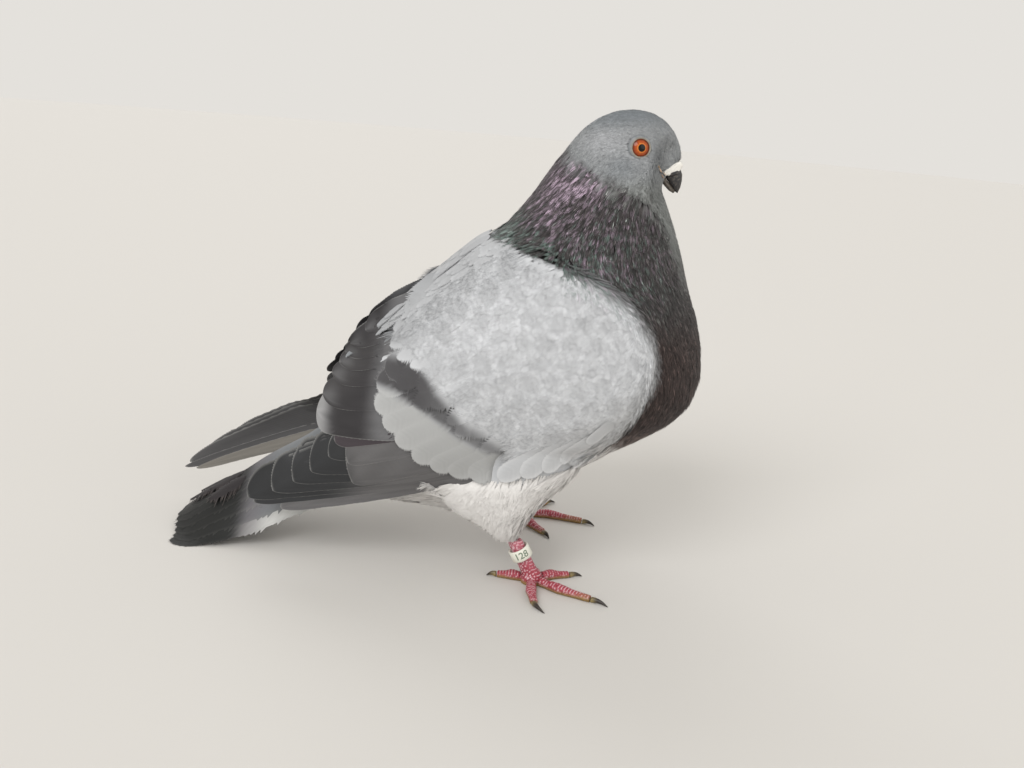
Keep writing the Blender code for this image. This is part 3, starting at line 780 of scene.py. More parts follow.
# %% Plain materials
def plain_material(name, roughness, specular=0.5, coat=0.0, grain_depth=0.0, fineness=1500.0):
    """A surface that shows its painted colour, with a fine grain in its relief if wanted."""
    material, tree, shader, painted = painted_material(name)
    tree.links.new(painted.outputs["Color"], shader.inputs["Base Color"])
    set_inputs(shader, {"Roughness": roughness, "Specular IOR Level": specular, "Coat Weight": coat,
                        "Coat Roughness": 0.03})
    if grain_depth:
        grained = tree.nodes.new("ShaderNodeGroup")
        grained.node_tree = grain
        set_inputs(grained, {"Fineness": fineness})
        add_relief(tree, grained.outputs["Height"], grain_depth, 0.2)
    return material


print("plain materials ready")

# %% [markdown]
# ## The skin under the coat
#
# The fused form is where the coat's surface lies. The skin lies inside it, by about one millimetre at the
# face and two and a half at the breast. Where two feathers part, it shows the same markings beneath,
# painted darker as painted shade in the gap.


# %% Skin
def coat_depth(points):
    """How deep the coat is at each place, in metres."""
    z = read_mm(points)[:, 2]
    return (2.6 - 1.7 * ramp(z, 205, 232)) * MM


depths = coat_depth(form_points)
skin_points = form_points - form_normals * depths[:, None]
skin_x, skin_y, skin_z = read_mm(skin_points).T
flight_zone = ramp(-skin_x, 38, 50) * ramp(64 - skin_z, 0, 6) * ramp(np.abs(skin_y), 30, 42)
skin_points[:, 1] -= np.sign(skin_y) * 7 * MM * flight_zone          # the flight feathers hang down past it
skin = form
skin.name = "skin"
skin.data.vertices.foreach_set("co", skin_points.ravel())
skin_tone = body_markings(form_points)
form_x, form_y, form_z = read_mm(form_points).T
under_wing = inside(SHIELD_EDGE, form_x, form_z) & (np.abs(form_normals[:, 1]) > 0.4)
skin_tone[under_wing, :3] = SHIELD_GREY
skin_tone[(form_x < -45) & (form_z < 70) & (np.abs(form_y) > 34), :3] = paint(110, 110, 111)
# painted shade: the skin is darkened to 0.7, and to 0.95 under the shield, for the shade between feathers
paint_points(skin.data, skin_tone * np.where(under_wing, 0.95, 0.7)[:, None] * [1, 1, 1, 0.5])
skin.data.update()
skin.data.materials.append(plain_material("skin_under_feathers", 0.9))
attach(skin, "root")
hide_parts(*FLESH)
print("skin depth, mm:", np.round([depths.min() / MM, depths.max() / MM], 2))

# %% [markdown]
# ## Where feathers grow
#
# Feathers dropped at random crowd in one place and leave another bare. So many more places than needed are
# dropped on the form, space is divided into small boxes, and each box keeps just one place.


# %% Places for feathers
def tree_of(node):
    """A search tree of one solid's surface."""
    points, _, faces = mesh_arrays(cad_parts[node].data)
    return BVHTree.FromPolygons(points.tolist(), faces.tolist())


node_trees = {node: tree_of(node) for node in FLESH}
face_middles = form_points[form_faces].mean(axis=1)
gaps = np.array([nearest_on(node_trees[node], face_middles)[2] for node in FLESH])
face_node = np.array(FLESH)[gaps.argmin(axis=0)]
face_mm = read_mm(face_middles)
corner_a, corner_b, corner_c = (form_points[form_faces[:, k]] for k in range(3))
face_area = np.linalg.norm(np.cross(corner_b - corner_a, corner_c - corner_a), axis=1) / 2
PUPILS = {"right": (40.9, -20.9, 245.0), "left": (40.9, 20.9, 245.0)}
GAZE = {"right": unit(np.array([0.28, -0.95, 0.08])), "left": unit(np.array([0.28, 0.95, 0.08]))}


def eye_gap(points):
    """How far each place is from the line along which the nearer eye looks, in mm."""
    gaps = []
    for side in PUPILS:
        away = (points - place(PUPILS[side])) / MM
        gaps.append(np.linalg.norm(np.cross(away, GAZE[side]), axis=1) + 100 * (away @ GAZE[side] < -12))
    return np.min(gaps, axis=0)


TRIES_PER_PLACE = 7
BARE_RING = 5.9            # no feather grows nearer than this to the eye's axis, in mm
FREE_RING = 5.5            # and none reaches nearer than this


def scatter(chosen, spacing):
    """Evenly spread places on the chosen faces of the form, with the way out there."""
    area = np.where(chosen, face_area, 0)
    tries = int(TRIES_PER_PLACE * area.sum() / spacing ** 2)
    picked = rng.choice(len(area), size=tries, p=area / area.sum())
    a, b = rng.random(tries), rng.random(tries)
    flip = a + b > 1
    a[flip], b[flip] = 1 - a[flip], 1 - b[flip]
    corners = form_faces[picked]
    weights = np.stack([1 - a - b, a, b], axis=1)[..., None]
    points = (form_points[corners] * weights).sum(axis=1)
    normals = unit((form_normals[corners] * weights).sum(axis=1))
    cells = np.floor(points / spacing).astype(int)
    _, first = np.unique(cells, axis=0, return_index=True)
    points, normals = points[first], normals[first]
    tips = points + lie(points, normals) * 3.2 * MM
    clear = (eye_gap(points) > BARE_RING) & (eye_gap(tips) > FREE_RING)
    return points[clear], normals[clear]


for node in FLESH:
    print(node, "area, mm2:", round(face_area[face_node == node].sum() * 1e6))

# %% [markdown]
# ## Coat of the head, neck, breast and belly
#
# The feathers of the face are about three millimetres long and lie flat. Down the neck they lengthen and
# loosen, and on the belly and thighs they turn into long soft down.


# %% Grow the body's coat
def body_coat(name, chosen, spacing, length, width, lift, strands, untidy, calm, material, variety,
              lighter):
    """Split feathers over part of the body."""
    roots, outward = scatter(chosen, spacing * MM)
    sheaf = Sheaf(name)

    def colour(places, v, strand, feathers):
        root_colour = coat_markings(places)
        shine, share = glints(places, feathers)
        each_share = (0.1 + 1.7 * rng.random((feathers, strands + 1)))[:, strand]
        each_share = np.clip(share[:, None] * each_share, 0, 0.9)
        shades = np.broadcast_to(root_colour[:, None, :3], each_share.shape + (3,))
        # the neck's painted glints are mixed into single strands
        shades = blend(shades, np.broadcast_to(shine[:, None], shades.shape), each_share)
        dark = ramp(0.16 - shades.mean(axis=2), 0, 0.1) * 0.8 + 0.2      # dark feathers differ the most
        each = rng.normal(0, variety, (feathers, strands + 1))
        # a few strands are painted much lighter: painted sparkle highlights
        each = each + variety * 2.2 * (rng.random((feathers, strands + 1)) < 0.07)
        each = each[:, strand] + rng.normal(0, variety * 0.5, feathers)[:, None]
        # tips are painted lighter, partly a painted highlight along the strands
        shades = shades * (np.exp(each * dark) * (1 + lighter * dark * (2 * v - 1)))[..., None]
        glint = (root_colour[:, 3:] * rng.uniform(0.2, 0.8, (feathers, 1)) + share[:, None] * 0.5)[:, None]
        glint = np.broadcast_to(glint * v[None, :, None], shades.shape[:2] + (1,))
        return np.concatenate([shades, glint], axis=2)

    grow_split(sheaf, roots, outward, lie(roots, outward), length, width, lift, strands, colour,
               coat_depth(roots)[:, None] * 0.95, untidy, calm)
    sheaf.build(material)


print("coat's depth at the face, mm:", np.round(coat_depth(place([(50, 0, 245)])) / MM, 2))

# %% [markdown]
# Each face of the form belongs to the solid that it lies nearest to. That says roughly which part of the
# coat grows there, and lines seen from the side say the rest: where the belly's white begins, where the
# back ends and how low the wing's edge hangs. Nothing grows where the flight feathers will cover the form.

# %% Where each part of the coat grows
x_mm, y_mm, z_mm = face_mm.T
face_out = form_normals[form_faces[:, 0]]
face_up = face_out[:, 2]
is_head = face_node == "head"
is_neck = face_node == "neck"
is_trunk = face_node == "trunk"
is_tail = face_node == "tail"
is_thigh = np.char.startswith(face_node, "thigh")
is_wing = np.char.startswith(face_node, "wing")

flights_low = np.interp(x_mm, [-142, -115, -91, -76, -47, -30], [31, 34, 40, 45, 51, 56])
under_flights = (x_mm < -30) & (z_mm > flights_low - 1)
is_belly = is_trunk & (x_mm < 63 - 0.7 * (z_mm - 60)) & (z_mm < 92)
neck_end = np.interp(x_mm, [-60, -37, -23, -7, 8, 18], [240, 196, 193, 187, 184, 182])
trunk_back = is_trunk & ~is_belly & (x_mm < 5) & (z_mm < neck_end)
wing_back = is_wing & (x_mm < -20) & (face_up > 0.5) & (z_mm > along_line(BACK_LINE, x_mm) - 8)
is_back = trunk_back | wing_back | (is_tail & (face_up > 0.2))
is_back &= (x_mm > -122) & ((x_mm > -70) | (np.abs(y_mm) < 24))
over_shield = (x_mm > 4) & (edge_gap(SHIELD_EDGE, x_mm, z_mm) < 5) & (z_mm > 100)
is_nape = is_neck & (z_mm > along_line(NECKLINE, x_mm) - 1)
is_breast = (is_trunk & ~is_belly & ~is_back) | (is_wing & over_shield)
wing_low = np.interp(x_mm, [-60, -47, -20, -7, 5, 19, 28, 36, 42], [62, 60, 64, 66, 68, 71, 77, 84, 92])
tail_under = is_tail & ~is_back & ~(under_flights & (face_up > -0.5))
wing_under = is_wing & ~is_back & ~is_breast & (face_up < np.where(x_mm > -20, -0.3, -0.75))
wing_under &= (x_mm > -45) | (np.abs(y_mm) < 42)
wing_under &= (x_mm <= -20) | (z_mm <= wing_low + 1)
is_under = (tail_under | wing_under) & (x_mm > -104)
below_wing = (z_mm < wing_low) | (np.abs(y_mm) < 30)
print("breast and wing's front edge, mm2:", round(face_area[is_breast].sum() * 1e6))

# %% [markdown]
# The face's feathers stand less than a millimetre apart and those of the breast almost one and a half, as
# each one there covers more. The neck's two sides are separate pieces only to keep each mesh light.

# %% Grow each part
body_coat("coat_head", is_head, 0.73, (3.0, 4.4), (0.4, 0.55), (0.0, 0.25), 3, 0.12, 0.7, split_feather,
          0.5, 0.5)
body_coat("coat_nape", is_nape, 0.88, (4.5, 6.5), (0.5, 0.7), (0.0, 0.35), 3, 0.12, 0.6, split_feather,
          0.5, 0.5)
for side, sign in SIDES:
    body_coat("coat_neck_" + side, is_neck & ~is_nape & (y_mm * sign > 0), 1.27, (8.5, 12.5), (0.7, 0.95),
              (0.1, 0.8), 4, 0.12, 0.4, split_feather, 0.4, 0.6)
body_coat("coat_breast", is_breast, 1.36, (8.5, 12.5), (0.75, 1.05), (0.1, 0.8), 4, 0.12, 0.45, split_feather,
          0.4, 0.6)
body_coat("coat_belly", is_belly & ~under_flights & below_wing, 1.45, (10.0, 15.0), (1.2, 1.7), (0.1, 1.1),
          4, 0.2, 0.95, down_feather, 0.04, 0.06)
body_coat("coat_under", is_under, 1.6, (12.0, 18.0), (1.3, 1.9), (0.1, 1.4), 5, 0.22, 0.8, down_feather,
          0.04, 0.06)
body_coat("coat_thighs", is_thigh & below_wing, 1.32, (10.0, 16.0), (0.9, 1.3), (0.1, 1.0), 4, 0.18, 0.95,
          down_feather, 0.04, 0.06)

# %% [markdown]
# ## Feathers with a quill
#
# On the wings and the tail each feather can be seen. It has a quill down its middle and barbs that leave it
# at a slant and end in a rounded outline. The blade is made of rows that run along the barbs, and each row
# ends in a small point of its own length, so that the edge can fray.


# %% One bladed feather as a pattern
def blade_pattern(barbs, columns=(0.4, 0.76), shoulder=0.58, slant=0.16, webs=(1.0, 1.0), taper=(1.0, 1.0)):
    """A feather's points, as (across, along, share of the way out to the edge, row share), and its
    triangles. webs and taper say for its two sides how wide they are and how much is left at the tip."""
    rows = np.arange(2 * barbs + 1) / (2 * barbs)      # even ones are rows, odd ones the tips between them
    turn = np.clip((rows - 0.6) / 0.4, 0, 1) * math.pi / 2
    edge = np.where(rows < 0.6, 0.06 + (shoulder - 0.06) * rows / 0.6,
                    shoulder + (1 - shoulder) * np.sin(turn))
    half = np.interp(edge, [0, 0.1, 0.3, 1], [0.3, 0.6, 1, 1]) * np.cos(turn)
    quill = np.clip(edge - slant * half, 0, 1)
    points = [(0, quill[2 * i], 0, rows[2 * i]) for i in range(barbs + 1)]
    faces = []
    for side, web, left in ((-1, webs[0], taper[0]), (1, webs[1], taper[1])):
        out = side * web * half * np.interp(edge, [0, 0.62, 1], [1, 1, left])
        inner = list(range(barbs + 1))
        for share in columns:
            outer = list(range(len(points), len(points) + barbs + 1))
            points += [(out[2 * i] * share, quill[2 * i] + (edge[2 * i] - quill[2 * i]) * share ** 1.2, share,
                        rows[2 * i]) for i in range(barbs + 1)]
            for i in range(barbs):
                quad = (inner[i], outer[i], outer[i + 1], inner[i + 1])[::side]
                faces += [(quad[0], quad[1], quad[2]), (quad[0], quad[2], quad[3])]
            inner = outer
        for i in range(barbs):
            middle = 2 * i + 1
            faces.append((inner[i], len(points), inner[i + 1])[::side])
            points.append((out[middle], edge[middle], 1.0, rows[middle]))
    return np.array(points, float), np.array(faces)


def grow_blades(sheaf, roots, outward, along, length, width, heights, pattern, colour, drape, bow=0.0,
                fray=0.05, droop=0.03, calm=0.7):
    """Lay one bladed feather at each root. heights over the surface are (at root, at tip) in metres, or a
    function of places in mm."""
    (across, v, share, row), faces = pattern[0].T, pattern[1]
    feathers, size = len(roots), len(v)
    side = np.cross(outward, along)
    loose = rng.normal(0, fray, (feathers, size)) * (share[None] > 0.99)
    out = across[None] * (1 + loose) * width[:, None] + (bow * (v - v ** 2))[None] * length[:, None]
    run = v[None] * length[:, None] + np.abs(loose) * width[:, None] * 0.8
    flat = roots[:, None] + side[:, None] * out[..., None] + along[:, None] * run[..., None]
    places, normals = drape(flat.reshape(-1, 3))
    places, normals = places.reshape(feathers, size, 3), normals.reshape(feathers, size, 3)
    if callable(heights):
        height = heights(read_mm(flat))
    else:
        at_root, at_tip = (np.broadcast_to(h, feathers)[:, None] for h in heights)
        height = at_root + (at_tip - at_root) * np.interp(v, [0, 0.35, 1], [0, 0.6, 1])[None]
    height = height - droop * width[:, None] * (share ** 2)[None]
    points = places + normals * height[..., None]
    corner = unroll(roots)[:, None] + (np.stack([across / 2, v - 0.5], axis=1) * PATCH)[None]
    vane = np.stack([0.5 + 0.5 * np.sign(across) * share, row], axis=1)
    sheaf.add(points, faces, colour(points, v, share), vane, corner, normals * calm)


def on_form(points):
    """Lay points on the fused form."""
    places, normals, _ = nearest_on(form_tree, points)
    return places, normals


print("one covert:", len(blade_pattern(9)[1]), "triangles")

# %% [markdown]
# Wing and tail feathers lie on broad, calm surfaces. Each wing's outer side is read once as a grid of
# heights, seen square from the side, and smoothed, so that no facets of the solid show. The tail is read
# from above in the same way.


# %% Height grids of the wings and the tail
class Relief:
    """The outer side of nodes as a smooth grid of heights, seen along one axis (1 for y, 2 for z). Below
    rim only the first node counts, where it faces out, so the grid doesn't turn in at its lower edge."""

    def __init__(self, nodes, axis, sign, low, high, step=2.5, rim=-1000.0):
        self.axis, self.other, self.sign = axis, 3 - axis, sign
        self.low, self.step = np.array(low, float), step
        shape = np.ceil((np.array(high) - self.low) / step).astype(int) + 1
        trees = [node_trees[node] for node in nodes]
        grid = np.full(shape, np.nan)
        ray = Vector((0, 0, 0))
        ray[axis] = -sign
        for i, j in np.ndindex(*shape):
            start = np.zeros(3)
            start[0], start[self.other] = self.low + np.array([i, j]) * step
            start[axis] = sign * 400
            below = start[self.other] < rim
            hits = [tree.ray_cast(Vector(place(start)), ray)[:2] for tree in (trees[:1] if below else trees)]
            seen = [read_mm(np.array([hit]))[0][axis] for hit, out in hits
                    if hit is not None and (not below or abs(out[axis]) > 0.7)]
            if seen:
                grid[i, j] = sign * max(sign * value for value in seen)
        for _ in range(90):                      # fill the places round the node from their neighbours
            around = np.stack([np.roll(grid, 1, 0), np.roll(grid, -1, 0), np.roll(grid, 1, 1),
                               np.roll(grid, -1, 1)])
            known = ~np.isnan(around)
            mean = np.where(known, around, 0).sum(axis=0) / np.maximum(known.sum(axis=0), 1)
            grid = np.where(np.isnan(grid) & known.any(axis=0), mean, grid)
        for _ in range(3):                       # and take out the facets
            padded = np.pad(grid, 1, mode="edge")
            grid = sum(padded[a:a + shape[0], b:b + shape[1]] for a in range(3) for b in range(3)) / 9
        self.grid = grid

    def height(self, first, second):
        """The grid's height between its points, in mm."""
        spot_at = (np.stack([first, second], axis=-1) - self.low) / self.step
        spot_at = np.clip(spot_at, 0, np.array(self.grid.shape) - 1.001)
        cell = spot_at.astype(int)
        share = spot_at - cell
        i, j, a, b = cell[..., 0], cell[..., 1], share[..., 0], share[..., 1]
        grid = self.grid
        return (grid[i, j] * (1 - a) * (1 - b) + grid[i + 1, j] * a * (1 - b) + grid[i, j + 1] * (1 - a) * b
                + grid[i + 1, j + 1] * a * b)

    def lay(self, points):
        """Put points on the surface along the axis; also gives the way out of it."""
        mm = read_mm(points)
        first, second = mm[:, 0], mm[:, self.other]
        mm[:, self.axis] = self.height(first, second)
        slope_1 = (self.height(first + 2, second) - self.height(first - 2, second)) / 4
        slope_2 = (self.height(first, second + 2) - self.height(first, second - 2)) / 4
        normals = np.zeros_like(mm)
        normals[:, 0], normals[:, self.other], normals[:, self.axis] = -slope_1, -slope_2, 1
        return place(mm), unit(normals * self.sign)


wing_relief = {"right": Relief(["wing_right", "trunk"], 1, -1, (-240, 0), (80, 215), rim=75.0),
               "left": Relief(["wing_left", "trunk"], 1, 1, (-240, 0), (80, 215), rim=75.0)}
tail_relief = Relief(["tail"], 2, 1, (-235, -60), (-100, 60))
print("wing's outer side at its middle, mm:", np.round(wing_relief["right"].height(-20.0, 130.0), 1))

# %% [markdown]
# ## Wing coverts
#
# Coverts grow in rows, and each row stands in the gaps of the row before it, like tiles. They are small at
# the bend of the wing and grow larger towards the back. The rows are laid out from the front edge of the
# shield with steps that lengthen. A covert has a firm middle and a loose, pale fringe.

# %% Rows of small coverts
WING_COMB = np.array([(45, 100, 212), (55, 130, 222), (46, 160, 232), (10, 182, 230), (-30, 188, 228),
                      (-60, 160, 222), (-85, 132, 212), (-20, 140, 221), (12, 120, 214), (20, 88, 206),
                      (-20, 78, 207), (-62, 84, 212), (-62, 118, 214), (-110, 100, 205), (20, 150, 224)],
                     float)
ROW_AT, ROW_RUN, ROW_ACROSS = np.array([62, 150.0]), np.array([-0.79, -0.613]), np.array([0.613, -0.79])
COVERT_RIM = paint(196, 197, 198)


def covert_places(spacing=5.2, widest=9.6):
    """Side-view places of the coverts' roots, with the spacing of their rows."""
    places, at, odd = [], -12.0, 0
    while at < 150:
        across = spacing * 1.15
        for k in np.arange(-150 // across, 80 // across + 1):
            sideways = ROW_ACROSS * (k + 0.5 * odd) * across
            spot_at = ROW_AT + ROW_RUN * at + sideways + rng.normal(0, 0.14 * spacing, 2)
            places.append((*spot_at, spacing))
        at, spacing, odd = at + spacing * 0.9, min(spacing * 1.07, widest), 1 - odd
    places = np.array(places)
    x, z = places[:, 0], places[:, 1]
    wanted = edge_gap(SHIELD_EDGE, x, z) > 2.0
    wanted &= (x > 8) | (z > along_line(BAR_TOP, x) + 12)
    wanted &= z > np.interp(x, [-20, 5, 20, 40], [96, 88, 90, 98]) + 3
    return places[wanted]


def fringe_share(v, share):
    """How much of each point is loose fringe: all of it at the edge and the tip."""
    return (np.maximum(ramp(share, 0.5, 1.0), ramp(v, 0.8, 1.0)) * ramp(v, 0.4, 0.8))[None]


def covert_colour(shift, own, fringe=0.06, rim=0.0):
    """Coverts: darker middle, pale loose fringe, pale line round it as rim asks, painted shade at the root.
    """
    def colour(points, v, share):
        base = shield_markings(points, shift[:, None])
        centre = 1 - 0.06 * ramp(0.8 - share, 0, 0.5)[None] * ramp(v, 0.3, 0.7)[None]
        # painted shade: darker towards the root, where the row above covers it
        out = (1 + fringe * fringe_share(v, share)) * (0.85 + 0.15 * ramp(v, 0.1, 0.6))[None]
        shades = base * (own[:, None] * centre * out)[..., None]
        return matt(blend(shades, COVERT_RIM, rim * (ramp(share, 0.84, 0.95) * ramp(v, 0.3, 0.6))[None]))
    return colour


def at_side(spots, sign, out=50.0):
    """Places in mm beside the bird, for spots seen from the side: sign -1 is its right and 1 its left."""
    spots = np.asarray(spots, float)
    return np.stack([spots[..., 0], np.full(spots.shape[:-1], sign * out), spots[..., 1]], axis=-1)


def wing_places(relief, spots, sign):
    """Places on a wing for side-view spots, the way out, and the lie of the feathers."""
    roots, outward = relief.lay(place(at_side(spots, sign)))
    return roots, outward, lie(roots, outward, WING_COMB)


def lay_between(sheaf, drape, start, end, half, levels, pattern, colour, **more):
    """One feather from start to end, both in mm, with its heights at root and tip in mm."""
    ends, outs = drape(place([start, end]))
    on_wing = abs(outs[0, 1]) > 0.4 and abs(start[1]) > 45
    square = np.array([[0.0, 1.0, 0.0] if on_wing else [0.0, 0.0, 1.0]])
    square = square * np.sign((outs[:1] * square).sum(axis=1, keepdims=True))
    run = ends[1:] - ends[:1]
    run = run - square * (run * square).sum(axis=1, keepdims=True)       # laid out flat, as seen squarely
    grow_blades(sheaf, ends[:1], square, unit(run), np.linalg.norm(run, axis=1), np.array([half * MM]),
                levels if callable(levels) else (levels[0] * MM, levels[1] * MM), pattern, colour, drape,
                **more)


print("first row of coverts starts at, mm:", ROW_AT)

# %% [markdown]
# Below the rows of small coverts lie the ten greater coverts, which carry the dark bar. Each is named by
# its tip, and the feathers turn a little from the first to the last. A few lower coverts close the wing's
# front edge, and long feathers from the shoulder lie over the inner end.

# %% Lay the coverts of both wings
GREAT_TIPS = np.array([(-86, 119), (-89.5, 110), (-89.5, 100), (-84, 91.5), (-76.5, 82.5), (-67, 74),
                       (-57, 69), (-47, 66), (-36, 65), (-26, 63.5)], float)
great_turn = np.radians(np.linspace(207, 215, len(GREAT_TIPS)))
great_way = np.stack([np.cos(great_turn), np.sin(great_turn)], axis=1)
great_roots = GREAT_TIPS - great_way * np.linspace(50, 36, len(GREAT_TIPS))[:, None]
LOW_COVERTS = [
    # root, tip, half width, height of the tip over the form
    ((12, 86), (-21, 66.5), 6, 0.8), ((22, 90), (-8, 69), 6, 0.9), ((31, 94), (5, 72), 6, 1.0),
    ((38, 99), (19, 76), 5.5, 1.1), ((40, 106), (29, 83), 4.5, 1.1)]
SCAPULARS = [((-58, 158), (-85, 137)), ((-52, 152), (-85, 130)), ((-46, 146), (-80, 126)),
             ((-40, 140), (-72, 124)), ((-62, 168), (-80, 146))]
UNBARRED = np.full(1, -30.0)               # so far down that the bar misses the feather
low_tones = covert_colour(UNBARRED, np.array([0.86]), 0.1, 0.6)
scapular_tones = covert_colour(UNBARRED, np.array([0.94]), 0.1)
for side, sign in SIDES:
    relief = wing_relief[side]
    sheaf = Sheaf("coverts_" + side)
    spots = covert_places()
    roots, outward, along = wing_places(relief, spots, sign)
    facing = np.abs(outward[:, 1]) > 0.62
    spots, roots, outward, along = spots[facing], roots[facing], outward[facing], along[facing]
    size = spots[:, 2] * MM
    count = len(size)
    lengths, widths = size * rng.uniform(2.4, 3.0, count), size * rng.uniform(0.74, 0.9, count)
    heights = (-0.8 * MM, rng.uniform(0.0, 0.12, count) * MM)
    tones = covert_colour(rng.normal(0, 1.0, count), np.exp(rng.normal(0, 0.02, count)))
    grow_blades(sheaf, roots, outward, along, lengths, widths, heights, blade_pattern(28, (0.32, 0.62)),
                tones, relief.lay, fray=0.1, calm=1.0)
    for k in range(len(GREAT_TIPS))[::-1]:
        tones = covert_colour(rng.normal(0, 1.5, 1), np.exp(rng.normal(0, 0.03, 1)), 0.07, 0.4)
        lay_between(sheaf, relief.lay, at_side(great_roots[k], sign), at_side(GREAT_TIPS[k], sign), 8.2,
                    (-1.8 - 0.05 * k, -0.1 - 0.06 * k), blade_pattern(56, (0.3, 0.6, 0.82), 0.84, 0.1), tones,
                    fray=0.06)
    for start, end, half, level in LOW_COVERTS:
        lay_between(sheaf, on_form, at_side(start, sign, 66), at_side(end, sign, 66), half, (-0.3, level),
                    blade_pattern(30, (0.3, 0.65, 0.93), 0.8, 0.1), low_tones, bow=0.06 * sign, fray=0.05)
    for start, end in SCAPULARS:
        lay_between(sheaf, relief.lay, at_side(start, sign), at_side(end, sign), 6.5,
                    (-1.0, rng.uniform(0.1, 0.4)), blade_pattern(40, (0.3, 0.6)), scapular_tones, fray=0.07,
                    calm=0.9)
    sheaf.build(covert_feather)

# %% [markdown]
# The fringes of the small coverts are so loose that they blur into one soft surface. Fine split feathers
# over them give that blur. Each takes its shade from the covert under it: darker over its middle, paler
# between two of them.

# %% Soft fringes over the shield
cells = covert_places(8.0, 12.5)
cell_tree = point_tree(cells * [1, 1, 0])
cell_shade = rng.normal(0, 0.03, len(cells))
soft = is_wing & (edge_gap(SHIELD_EDGE, x_mm, z_mm) > 2.5) & (x_mm > -84)
soft &= (np.abs(face_out[:, 1]) > 0.45) | (x_mm > -24)
soft &= z_mm > np.where(x_mm < -14, along_line(BAR_TOP, x_mm) + 9, wing_low)
soft |= is_wing & (x_mm > -14) & (x_mm < 46) & (z_mm > wing_low) & (z_mm < 100)
roots, outward = scatter(soft, 1.6 * MM)
along = lie(roots, outward, WING_COMB)
places = read_mm(roots + along * 4 * MM)
found = [cell_tree.find_n((x, z, 0), 2) for x, _, z in places.tolist()]
between = np.array([ramp((f[1][2] - f[0][2]) / cells[f[0][1], 2], 0.03, 0.4) for f in found])
mottle = (1.11 - 0.16 * between) * np.exp(cell_shade[[f[0][1] for f in found]])


def soft_colour(places, v, strand, feathers):
    """The shield's grey with the shade of the covert that each fringe lies over."""
    tone = shield_markings(places, 0) * mottle[:, None]
    each = np.exp(rng.normal(0, 0.02, (feathers, 4)))[:, strand, None] * (0.97 + 0.05 * v)[None, :, None]
    return matt(tone[:, None] * each)


sheaf = Sheaf("soft_fringes")
grow_split(sheaf, roots, outward, along, (6, 9), (0.95, 1.3), (0.1, 0.3), 3, soft_colour, 0.9 * MM, 0.09,
           1.0)
sheaf.build(down_feather)

# %% [markdown]
# The back and the upper side of the folded wings can't be seen square from the side. Their feathers are
# laid on the fused form itself, from places spread evenly over it.

# %% Grow the back
sheaf = Sheaf("coverts_back")
roots, outward = scatter(is_back, 6.0 * MM)
along = lie(roots, outward)
count = len(roots)


def back_colour(own):
    """Colours of the back's feathers, which turn into the rump's grey."""
    def colour(points, v, share):
        mm = read_mm(points)
        tone = blend(shield_markings(points, 0), RUMP_GREY, ramp(-mm[..., 0], 84, 110))
        return matt(tone * (own[:, None] * (0.92 + 0.14 * fringe_share(v, share)))[..., None])
    return colour


grow_blades(sheaf, roots, outward, along, rng.uniform(14, 18, count) * MM, rng.uniform(4.6, 5.8, count) * MM,
            (-1.0 * MM, rng.uniform(0, 0.25, count) * MM), blade_pattern(20, (0.32, 0.62)),
            back_colour(np.exp(rng.normal(0, 0.04, count))), on_form, fray=0.07, calm=1.0)
sheaf.build(covert_feather)

# %% [markdown]
# The folded wings meet over the back. The mantle's feathers lie across the groove between them and hide it,
# so they are laid on a surface that spans the groove.

# %% Mantle feathers over the groove between the wings
mantle = Relief(["wing_right", "wing_left", "trunk", "neck"], 2, 1, (-130, -40), (30, 40))
across_mm = mantle.low[1] + mantle.step * np.arange(mantle.grid.shape[1])
rims = mantle.grid[:, np.abs(np.abs(across_mm) - 12) < 1.5].mean(axis=1)
levelled = ramp(-np.abs(across_mm), -17, -11)[None]
mantle.grid = mantle.grid * (1 - levelled) + (rims[:, None] + 2.2) * levelled
sheaf = Sheaf("mantle")
for row, x_root in enumerate(np.arange(-97, -36, 5.5)):
    for across in np.linspace(-14, 14, 8 - row % 2):
        end = (x_root - rng.uniform(15, 18), across * 0.95 + rng.normal(0, 0.5), 150)
        lay_between(sheaf, mantle.lay, (x_root, across, 150), end, 4.6, (0.0, rng.uniform(0.7, 1.0)),
                    blade_pattern(24, (0.32, 0.62)), back_colour(np.exp(rng.normal(0, 0.04, 1))), fray=0.07,
                    calm=1.0)
sheaf.build(covert_feather)

# %% [markdown]
# ## Flight feathers
#
# In a closed wing the long feathers slide under one another like a hand of cards. The innermost lies on
# top, and each one below it shows only its lower edge and its tip. A table gives each feather's root and
# tip seen from the side, its two webs and its kind. The left wing's primaries reach further back.

